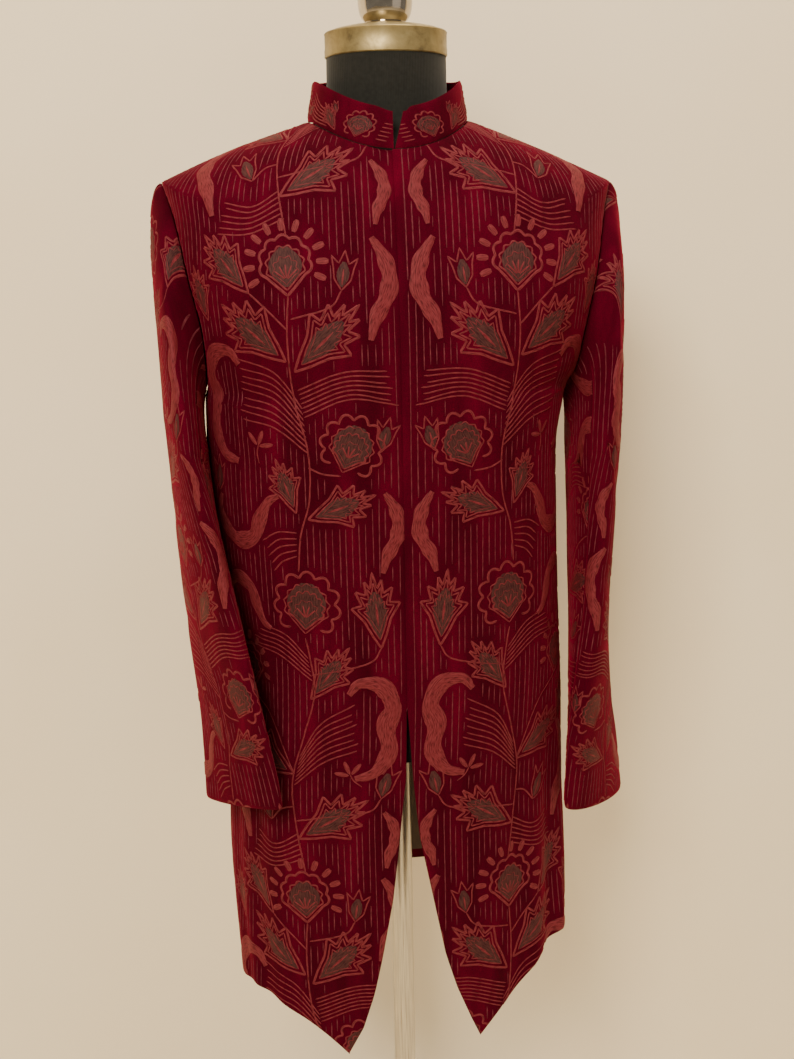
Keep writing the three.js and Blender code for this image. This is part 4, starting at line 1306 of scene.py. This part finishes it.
def collar_drawing(panel):
    """A flower near each end with short rows beside it, then leaves and feathery rows round to the back."""
    made = []
    for mirror, end in ((-1, -panel.across[4, 0]), (1, panel.across[4, -1])):
        for t in DASHES["heights"]:
            dash = [(mirror * (end - DASHES["from"]), t), (mirror * (end - DASHES["to"]), t + 1)]
            made.append(line(curve(dash), DASHES["width"]))
        for name, back, t, angle, size in COLLAR_MOTIFS:
            made += placed(MOTIFS[name](), mirror * (end - back), t, mirror * angle, size, mirror)
        for start, stop, count in COLLAR_COMBS:
            lines = [[(mirror * (end - back), t) for back, t in pair] for pair in (start, stop)]
            made += comb(*lines, count, 4 * mirror)
    return made


print("strokes on the collar:", len(collar_drawing(panels["collar"])))

# %% [markdown]
# Thin upright rows of chain stitch fill the ground, 6.6 mm apart. They stop just short of every motif, so a coarse
# map of the drawing says where they may run. Each row drifts and varies a little, as hand-guided stitching does, from
# a seeded generator that gives the same rows each time.


# %% Upright rows
STRIPE_GAP = 6.6
STRIPE_CLEAR = 1.8
STRIPE_STEP = 5.0
STRIPE_EDGE = {"side": 3, "end": 4}  # how far from the panel's edges the rows stay
CELL = 1.5
SLEEVE_STRIPES = 520  # above this the sleeve swells into its head
rng = np.random.default_rng(7)


def drawn_over(panel, strokes):
    """A coarse map of the cells that the strokes and a narrow margin cover, and its lowest corner."""
    corner = np.array([panel.across.min(), panel.upward.min()])
    wide, tall = ((np.array([panel.across.max(), panel.upward.max()]) - corner) / CELL).astype(int) + 2
    taken = np.zeros((wide, tall), bool)
    for _, points, half, _ in strokes:
        for spot, reach in zip((points - corner) / CELL, (half + STRIPE_CLEAR) / CELL):
            a, c = np.maximum(np.ceil(spot - reach), 0).astype(int)
            b, d = np.maximum(np.floor(spot + reach) + 1, 0).astype(int)
            cells = np.ogrid[a : min(b, wide), c : min(d, tall)]
            taken[a:b, c:d] |= np.hypot(cells[0] - spot[0], cells[1] - spot[1]) <= reach
    return taken, corner


def stripes(panel, strokes):
    """Upright rows of chain stitch between the motifs."""
    taken, (s0, t0) = drawn_over(panel, strokes)
    s1, t1 = float(panel.across.max()), float(panel.upward.max())
    if "sleeve" in panel.name:
        t1 = min(t1, t0 + SLEEVE_STRIPES)
    made = []
    heights = np.arange(t0 + STRIPE_EDGE["end"], t1 - STRIPE_EDGE["end"], STRIPE_STEP)
    for k in range(math.ceil(s0 / STRIPE_GAP), math.floor(s1 / STRIPE_GAP) + 1):
        s = (k + 0.5) * STRIPE_GAP
        drift = 0.5 * np.sin(heights / rng.uniform(60, 110) + rng.uniform(0, 6))
        if not s0 + STRIPE_EDGE["side"] < s < s1 - STRIPE_EDGE["side"]:
            continue
        free = ~taken[int((s - s0) / CELL), ((heights - t0) / CELL).astype(int)]
        run = []
        for t, x, ok in zip(heights, s + drift, free):
            if ok:
                run.append((x, t))
            if (not ok or t == heights[-1]) and len(run) > 2:
                made.append(line(np.array(run), rng.uniform(1.1, 1.7), "stripe", 0.4))
            if not ok:
                run = []
    return made


drawings = {
    "front_left": body_drawing([1]),
    "front_right": body_drawing([-1]),
    "back": body_drawing([1, -1]),
    "sleeve_left_top": sleeve_drawing(1, **TOP_LAYOUT),
    "sleeve_right_top": sleeve_drawing(-1, **TOP_LAYOUT),
    "sleeve_left_under": sleeve_drawing(1, **UNDER_LAYOUT),
    "sleeve_right_under": sleeve_drawing(-1, **UNDER_LAYOUT),
    "collar": collar_drawing(panels["collar"]),
}
print({name: len(strokes) for name, strokes in drawings.items()})

# %% [markdown]
# To sew a drawing on, each of its points is looked up on the panel: which row and column of the cloth has that
# across and up. The rows of the cloth bend, so the place is found by stepping towards it from a first guess.


# %% From the drawing to the cloth
FINDING_STEPS = 14
LONGEST_STEP = {"rows": 12, "cols": 8}


def lookup(sheets, rows, cols):
    """Values of a grid between its points."""
    a = np.clip(rows.astype(int), 0, sheets.shape[0] - 2)
    b = np.clip(cols.astype(int), 0, sheets.shape[1] - 2)
    u, v = (rows - a)[:, None], (cols - b)[:, None]
    p, q, r, w = sheets[a, b], sheets[a, b + 1], sheets[a + 1, b], sheets[a + 1, b + 1]
    value = mix(mix(p, q, v), mix(r, w, v), u)
    return value, mix(r, w, v) - mix(p, q, v), mix(q, w, u) - mix(p, r, u)


def on_panel(panel, spots):
    """Rows and columns of flat points, and whether they lie on the cloth."""
    flat = np.stack([panel.across, panel.upward], axis=2)
    tall, wide = panel.across.shape
    rows = np.interp(spots[:, 1], panel.upward[:, wide // 2], np.arange(tall))
    cols = np.full(len(spots), wide / 2)
    for _ in range(FINDING_STEPS):
        value, along, aside = lookup(flat, rows, cols)
        miss = spots - value
        area = along[:, 0] * aside[:, 1] - along[:, 1] * aside[:, 0]
        area = np.where(np.abs(area) < 1e-6, 1e-6, area)
        more_rows = (miss[:, 0] * aside[:, 1] - miss[:, 1] * aside[:, 0]) / area
        more_cols = (along[:, 0] * miss[:, 1] - along[:, 1] * miss[:, 0]) / area
        rows = rows + np.clip(more_rows, -LONGEST_STEP["rows"], LONGEST_STEP["rows"])
        cols = cols + np.clip(more_cols, -LONGEST_STEP["cols"], LONGEST_STEP["cols"])
        rows, cols = np.clip(rows, -3, tall + 2), np.clip(cols, -3, wide + 2)
    inside = (rows > 0.4) & (rows < tall - 1.4) & (cols > 0.4) & (cols < wide - 1.4)
    return np.clip(rows, 0.3, tall - 1.3), np.clip(cols, 0.3, wide - 1.3), inside


print("the collar's own middle:", on_panel(panels["collar"], np.array([[0.0, 20.0]]))[:2])

# %% [markdown]
# Each stroke becomes a ribbon of faces that stands up from the cloth along its middle and sinks its edges just into
# it. All the ribbons of a panel are one mesh, because there are thousands, made straight from their points: no
# primitive bends both with a drawn line and with the cloth under it. Ribbons that run off the panel are cut there.


# %% Raised ribbons
THREADS = ["rose", "mauve", "stripe"]
THREAD_SUNK = 0.15
FLAT_PITCH = 4.5
DOME = 0.25  # how much lower a ribbon is near its edges than along its middle


def thread_work(name, panel, strokes, threads):
    """One mesh of raised ribbons on a panel, a material slot for each thread."""
    spots, rises, patterns, quads, slots = [], [], [], [], []
    count = 0
    for thread, points, half, height in strokes:
        pieces = max(2, 2 * math.ceil(half.max() / FLAT_PITCH))
        u = np.linspace(-1, 1, pieces + 1)
        way = np.gradient(points, axis=0)
        way /= np.maximum(np.hypot(*way.T), 1e-9)[:, None]
        aside = np.stack([-way[:, 1], way[:, 0]], axis=1)
        grid = points[:, None] + aside[:, None] * (half[:, None] * u)[..., None]
        flat = thread == "mauve"
        shape = np.where(np.abs(u) > 0.99, 0, 1 if flat else (1 - DOME * u * u))
        rise = height * shape - THREAD_SUNK * (shape == 0)
        run = np.concatenate([[0], np.cumsum(np.hypot(*np.diff(points, axis=0).T))])
        spots.append(grid.reshape(-1, 2))
        rises.append(np.tile(rise, len(points)))
        patterns.append(np.stack(np.broadcast_arrays(run[:, None], half[:, None] * u), axis=2).reshape(-1, 2))
        k, m = np.meshgrid(np.arange(len(points) - 1), np.arange(pieces), indexing="ij")
        a = (count + k * (pieces + 1) + m).ravel()
        quads.append(np.stack([a, a + pieces + 1, a + pieces + 2, a + 1], axis=1))
        slots.append(np.full(len(a), threads.index(thread)))
        count += len(points) * (pieces + 1)
    spots, rises, patterns = np.concatenate(spots), np.concatenate(rises), np.concatenate(patterns)
    quads, slots = np.concatenate(quads), np.concatenate(slots)
    rows, cols, inside = on_panel(panel, spots)
    place, _, _ = lookup(panel.points, rows, cols)
    normal, _, _ = lookup(panel.normals, rows, cols)
    place = place + normal * rises[:, None]
    kept = inside[quads].sum(axis=1) >= 2
    quads, slots = quads[kept], slots[kept]
    used, quads = np.unique(quads, return_inverse=True)
    quads = quads.reshape(-1, 4)
    mesh = bpy.data.meshes.new(name)
    mesh.from_pydata((place[used] * MM).tolist(), [], quads.tolist())
    layer = mesh.uv_layers.new(name="stitches")
    layer.data.foreach_set("uv", (patterns[used][quads.ravel()] * UV_PER_MM).astype(np.float32).ravel())
    mesh.polygons.foreach_set("material_index", slots.astype(np.int32))
    mesh.polygons.foreach_set("use_smooth", np.ones(len(quads), bool))
    mesh.update()
    made = bpy.data.objects.new(name, mesh)
    bpy.context.collection.objects.link(made)
    return made


embroidery = {}
for name, strokes in drawings.items():
    rows = [] if name == "collar" else stripes(panels[name], strokes)
    embroidery[name] = thread_work("thread_" + name, panels[name], strokes + rows, THREADS)
print("thread faces:", {name: len(piece.data.polygons) for name, piece in embroidery.items()})

# %% [markdown]
# ## Threads
# The motifs are worked in soft spun silk, packed in rows of split stitch about 1 mm apart, so dark flecks of the
# velvet show between them. Rose is a dusty red a little lighter than the velvet, mauve a grey brown for the
# hollows, and the upright rows are a thinner, darker rose.

# %% Thread materials
# spun silk: soft rather than glossy, in flecked rows that run with the stitches. Dark, middle and light tones
SILKS = {
    "rose": ("rose spun silk", (0.33, "#3c0911"), (0.46, "#5e1b23"), (0.68, "#6e2a31")),
    "mauve": ("mauve spun silk", (0.33, "#220a10"), (0.46, "#371a1c"), (0.68, "#452625")),
    "stripe": ("thin rose silk", (0.33, "#380a14"), (0.46, "#521a24"), (0.68, "#642c36")),
}
ALONG, ACROSS = 14, 95  # flecks to 100 mm of thread, and rows to 100 mm of width


def spun_silk(name, *stops):
    made, tree, shader = material(
        name,
        Roughness=0.66,
        Sheen_Weight=0.22,
        Sheen_Roughness=0.5,
        Sheen_Tint=colour("#b8283a"),
        Specular_IOR_Level=0.14,
    )
    stitches = node(tree, "ShaderNodeTexCoord").outputs["UV"]
    rows = node(tree, "ShaderNodeMapping", Vector=stitches, Scale=(ALONG, ACROSS, 1)).outputs["Vector"]
    fleck = node(tree, "ShaderNodeTexNoise", Vector=rows, Scale=1.0, Detail=3.0).outputs["Fac"]
    node(tree, "ShaderNodeValToRGB", {"stops": stops}, shader.inputs["Base Color"], Fac=fleck)
    node(tree, "ShaderNodeBump", None, shader.inputs["Normal"], Height=fleck, Distance=0.35 * MM, Strength=0.6)
    return made


silks = [spun_silk(*SILKS[thread]) for thread in THREADS]
for piece in embroidery.values():
    for finish in silks:
        piece.data.materials.append(finish)
print("threads:", [finish.name for finish in silks])

# %% [markdown]
# ## Torso
# The form's torso is a padded shell covered with black jersey, pulled taut. It is only a rest for the coat, so its
# rings are the CAD's own. A grid primitive is wound into a tube, its two sides are merged, and its ends are filled.

# %% Torso
TORSO = table(
    "n zf yf x zs zb yb square",
    (0, 800, -112, 158, 800, 800, 96, 0.6),
    (1, 850, -114, 160, 850, 850, 98, 0.6),
    (2, 940, -110, 152, 940, 940, 90, 0.6),
    (3, 1030, -112, 150, 1030, 1030, 84, 0.6),
    (4, 1110, -122, 160, 1110, 1110, 96, 0.62),
    (5, 1170, -126, 172, 1180, 1180, 108, 0.64),
    (6, 1228, -125, 180, 1250, 1248, 111, 0.6),
    (7, 1264, -121, 186, 1306, 1290, 109, 0.56),
    (8, 1300, -115, 190, 1350, 1330, 104, 0.54),
    (9, 1330, -107, 192, 1386, 1364, 95, 0.54),
    (10, 1352, -101, 184, 1406.3, 1386, 88, 0.58),
    (11, 1380, -91, 140, 1425.8, 1416, 75, 0.6),
    (12, 1404, -78, 100, 1439.5, 1436, 66, 0.58),
    (13, 1424, -68, 74, 1449, 1452, 61, 0.56),
    (14, 1444, -61, 62, 1466, 1470, 60, 0.5523),
    (15, 1512, -60, 60, 1512, 1512, 60, 0.5523),
)
RAISED_TORSO = {"low": 1200, "high": 1380}
TORSO_COLUMNS, TORSO_ROWS = 128, 120


def torso_ring(n, count):
    """A closed ring of the torso, from its middle front round the wearer's left."""
    at = {column: float(between(TORSO, "n", n, column)) for column in TORSO}
    ring = []
    for k in range(count + 1):
        quarter, share = divmod(4 * (k % count) / count, 1)
        face = "f" if quarter in (0, 3) else "b"
        y, z, side = at["y" + face], at["z" + face], np.array([at["x"], 0, at["zs"]])
        p1 = np.array([side[0] * at["square"], y, z])
        p2 = np.array([side[0], y * at["square"], side[2]])
        point = bezier(np.array([0, y, z]), p1, p2, side, share if quarter in (0, 2) else 1 - share)
        if quarter >= 2:
            point[0] *= -1
        outward = smoothstep(-point[0], RAISED["from"], RAISED["to"])
        point[2] += RAISED["by"] * outward * smoothstep(point[2], RAISED_TORSO["low"], RAISED_TORSO["high"])
        ring.append(point)
    return ring


def padded_torso():
    levels = np.linspace(0, TORSO["n"][-1], TORSO_ROWS + 1)
    rings = np.array([torso_ring(n, TORSO_COLUMNS) for n in levels])
    bpy.ops.object.select_all(action="DESELECT")
    bpy.ops.mesh.primitive_grid_add(x_subdivisions=TORSO_COLUMNS, y_subdivisions=TORSO_ROWS, size=2)
    made = bpy.context.object
    made.name = made.data.name = "torso"
    made.data.vertices.foreach_set("co", (rings * MM).astype(np.float32).ravel())
    made.data.update()
    bpy.ops.object.mode_set(mode="EDIT")
    bpy.ops.mesh.select_all(action="SELECT")
    bpy.ops.mesh.remove_doubles(threshold=0.00005)
    bpy.ops.mesh.select_all(action="DESELECT")
    bpy.ops.mesh.select_non_manifold()
    bpy.ops.mesh.edge_face_add()
    bpy.ops.mesh.select_all(action="SELECT")
    bpy.ops.mesh.normals_make_consistent(inside=False)
    bpy.ops.object.mode_set(mode="OBJECT")
    bpy.ops.object.shade_smooth_by_angle(angle=math.radians(40))
    return made


torso = padded_torso()
print("torso:", len(torso.data.polygons), "faces")

# %% [markdown]
# ## Turned pieces
# The neck cap, the finial, the pole with its socket and the round base are turned on a lathe. Each starts as a
# circle, filled as its foot, at its profile's first radius. The circle is then extruded, moved and resized from ring
# to ring, and its last ring stays filled as the top. The profiles themselves break the sharp edges, in steps of a
# millimetre or two, as a lathe tool would.


# %% Making a turned piece
def turned(name, profile, foot, steps=96):
    """A piece from its profile of (radius, height) rows, the first at the foot."""
    bpy.ops.object.select_all(action="DESELECT")
    radius, height = profile[0]
    bpy.ops.mesh.primitive_circle_add(
        vertices=steps, radius=radius * MM, fill_type="NGON", location=(0, 0, (foot + height) * MM)
    )
    made = bpy.context.object
    made.name = made.data.name = name
    bpy.ops.object.mode_set(mode="EDIT")
    bpy.ops.mesh.select_all(action="SELECT")
    for (r0, h0), (r1, h1) in zip(profile, profile[1:]):
        bpy.ops.mesh.extrude_region_move(TRANSFORM_OT_translate={"value": (0, 0, (h1 - h0) * MM)})
        bpy.ops.transform.resize(value=(r1 / r0, r1 / r0, 1), center_override=(0, 0, (foot + h1) * MM))
    bpy.ops.mesh.select_all(action="SELECT")
    bpy.ops.mesh.normals_make_consistent(inside=False)
    bpy.ops.object.mode_set(mode="OBJECT")
    bpy.ops.object.transform_apply(location=True)
    bpy.ops.object.shade_smooth_by_angle(angle=math.radians(35))
    return made


CAP_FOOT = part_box("neck_cap")[0][2] / MM
FINIAL_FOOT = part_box("finial")[0][2] / MM
print("cap foot", round(CAP_FOOT, 2), "finial foot", round(FINIAL_FOOT, 2))

# %% The five turned pieces
CAP_PROFILE = [(60.5, 0), (61.5, 1), (61.5, 7), (61.1, 8), (61.1, 21.5), (61.5, 22.5), (60.6, 23.6), (59, 24)]
CAP_PROFILE += [(52, 26.4), (42, 28.5), (33, 29.7), (24, 30.5), (12, 30.5)]
FINIAL_PROFILE = [(20, 0), (21, 0.4), (21.4, 1.6), (20.6, 2.8), (21.5, 4), (23.6, 6.2), (25.5, 10), (26.6, 14.5)]
FINIAL_PROFILE += [(27.2, 20), (27.4, 26), (27.1, 32), (26.1, 38), (24.6, 44), (22.5, 49.5), (19.9, 54.5)]
FINIAL_PROFILE += [(16.6, 58.8), (12.8, 62.5), (9, 64.9), (5, 66.4), (1.5, 67)]
SOCKET_PROFILE = [(19, 0), (20, 1), (20, 24), (21.5, 26), (46, 28), (47, 29), (47, 31.4), (46.4, 32)]
BASE_PROFILE = [(204, 0), (205, 1), (205, 4), (203.6, 6), (201, 7.2), (130, 9.4), (60, 11), (34, 11.8), (31, 13.5)]
BASE_PROFILE += [(30, 17), (30, 29.6), (29.2, 31.4), (27.6, 32), (16, 32)]

turnings = {
    "neck_cap": turned("brass_neck_cap", CAP_PROFILE, CAP_FOOT),
    "finial": turned("chrome_finial", FINIAL_PROFILE, FINIAL_FOOT),
    "pole_socket": turned("steel_socket", SOCKET_PROFILE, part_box("pole_socket")[0][2] / MM),
    "base": turned("steel_base", BASE_PROFILE, 0, 160),
}
low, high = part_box("pole")
pole_length = (high[2] - low[2]) / MM
POLE_PROFILE = [(12, 0), (12.5, 0.5), (12.5, pole_length / 2), (12.5, pole_length - 0.5), (12, pole_length)]
turnings["pole"] = turned("steel_pole", POLE_PROFILE, low[2] / MM, 64)
print("pole:", round(pole_length, 1), "mm")

# %% [markdown]
# ## Jersey
# The form's cover is cotton jersey, a fine knit that lies dull and black. It has faint upright ribs, and a fuzz of
# loose fibres that greys it a little.

# %% Jersey
# cotton jersey: near black and matt, with the light lost between its ribs
RIB_MM = 1.6  # ribs of a knit are finer, and are drawn as coarse as they show
jersey, tree, shader = material("cotton jersey", Roughness=0.88, Sheen_Weight=0.12, Specular_IOR_Level=0.25)
spot = node(tree, "ShaderNodeTexCoord").outputs["Object"]
fuzz = node(tree, "ShaderNodeTexNoise", Vector=spot, Scale=260.0, Detail=5.0).outputs["Fac"]
stops = (0.3, "#121311"), (0.7, "#1b1c1a")
node(tree, "ShaderNodeValToRGB", {"stops": stops}, shader.inputs["Base Color"], Fac=fuzz)
knit = {"Vector": spot, "Scale": math.pi / RIB_MM * 100, "Distortion": 0.8}
ribs = node(tree, "ShaderNodeTexWave", {"bands_direction": "X"}, **knit).outputs["Fac"]
node(tree, "ShaderNodeBump", None, shader.inputs["Normal"], Height=ribs, Distance=0.12 * MM, Strength=0.5)
print("ribs every", RIB_MM, "mm")

# %% [markdown]
# ## Brass
# The neck cap is spun brass that has aged: a brown film lies on it in patches, thin where hands have rubbed it. The
# film is part of the colour and of the roughness, since the clean metal is smoother than the film.

# %% Brass
# aged brass: a dull greenish gold, mottled, with a soft gloss in the rubbed places
brass, tree, shader = material("aged brass", Metallic=0.75, Roughness=0.5)
spot = node(tree, "ShaderNodeTexCoord").outputs["Object"]
clouds = {"Vector": spot, "Scale": 55.0, "Detail": 8.0, "Roughness": 0.68, "Distortion": 0.4}
film = node(tree, "ShaderNodeTexNoise", **clouds).outputs["Fac"]
stops = (0.3, "#65583e"), (0.42, "#877852"), (0.58, "#96875f"), (0.76, "#a6986e")
node(tree, "ShaderNodeValToRGB", {"stops": stops}, shader.inputs["Base Color"], Fac=film)
node(tree, "ShaderNodeMapRange", None, shader.inputs["Roughness"], Value=film, i3=0.62, i4=0.3)
pits = node(tree, "ShaderNodeTexNoise", Vector=spot, Scale=420.0, Detail=4.0).outputs["Fac"]
node(tree, "ShaderNodeBump", None, shader.inputs["Normal"], Height=pits, Distance=0.05 * MM, Strength=0.4)
print("film patches about", round(1000 / clouds["Scale"]), "mm")

# %% [markdown]
# ## Chrome and steel
# The finial is plated with chrome and polished, so it mirrors the room through a faint haze of handling. The pole,
# its socket and the base are steel, brushed along their height to a satin.

# %% Chrome
# polished chrome: a bright mirror whose warm grey colour is a painted reflection of the warm room
HAZE = {"i3": 0.04, "i4": 0.14}
chrome, tree, shader = material("polished chrome", Metallic=1.0, Roughness=0.06)
spot = node(tree, "ShaderNodeTexCoord").outputs["Object"]
smear = node(tree, "ShaderNodeTexNoise", Vector=spot, Scale=70.0, Detail=5.0).outputs["Fac"]
# warm grey stops: a painted reflection of the room, lighter and darker with the smears of handling
stops = (0.3, "#a89f92"), (0.7, "#c9c1b3")
node(tree, "ShaderNodeValToRGB", {"stops": stops}, shader.inputs["Base Color"], Fac=smear)
node(tree, "ShaderNodeMapRange", None, shader.inputs["Roughness"], Value=smear, **HAZE)
print("roughness of the chrome:", *HAZE.values())

# %% Steel, and all finishes on their pieces
# satin steel: a softened mirror with fine upright streaks
steel, tree, shader = material("satin steel", Metallic=1.0, Roughness=0.3)
spot = node(tree, "ShaderNodeTexCoord").outputs["Object"]
upright = node(tree, "ShaderNodeMapping", Vector=spot, Scale=(1, 1, 0.02)).outputs["Vector"]
brush = node(tree, "ShaderNodeTexNoise", Vector=upright, Scale=900.0, Detail=3.0).outputs["Fac"]
stops = (0.3, "#9d978c"), (0.7, "#c9c3b6")
node(tree, "ShaderNodeValToRGB", {"stops": stops}, shader.inputs["Base Color"], Fac=brush)
node(tree, "ShaderNodeMapRange", None, shader.inputs["Roughness"], Value=brush, i3=0.22, i4=0.4)

FINISHES = {"neck_cap": brass, "finial": chrome, "pole_socket": steel, "pole": steel, "base": steel}
for name, piece in turnings.items():
    piece.data.materials.append(FINISHES[name])
torso.data.materials.append(jersey)
print("finishes:", sorted({finish.name for finish in FINISHES.values()} | {jersey.name}))

# %% [markdown]
# ## Handing the pieces over
# Each piece rides on the one body and replaces its CAD node, and the embroidery rides with its panel.


for name, shell in shells.items():
    panel = panels[name]
    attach(shell, "root")
    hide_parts(name)
    sewn = [embroidery[name]] if name in embroidery else []
    for piece in sewn:
        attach(piece, "root")
for name, piece in turnings.items():
    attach(piece, "root")
    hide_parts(name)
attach(torso, "root")
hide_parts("form_torso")
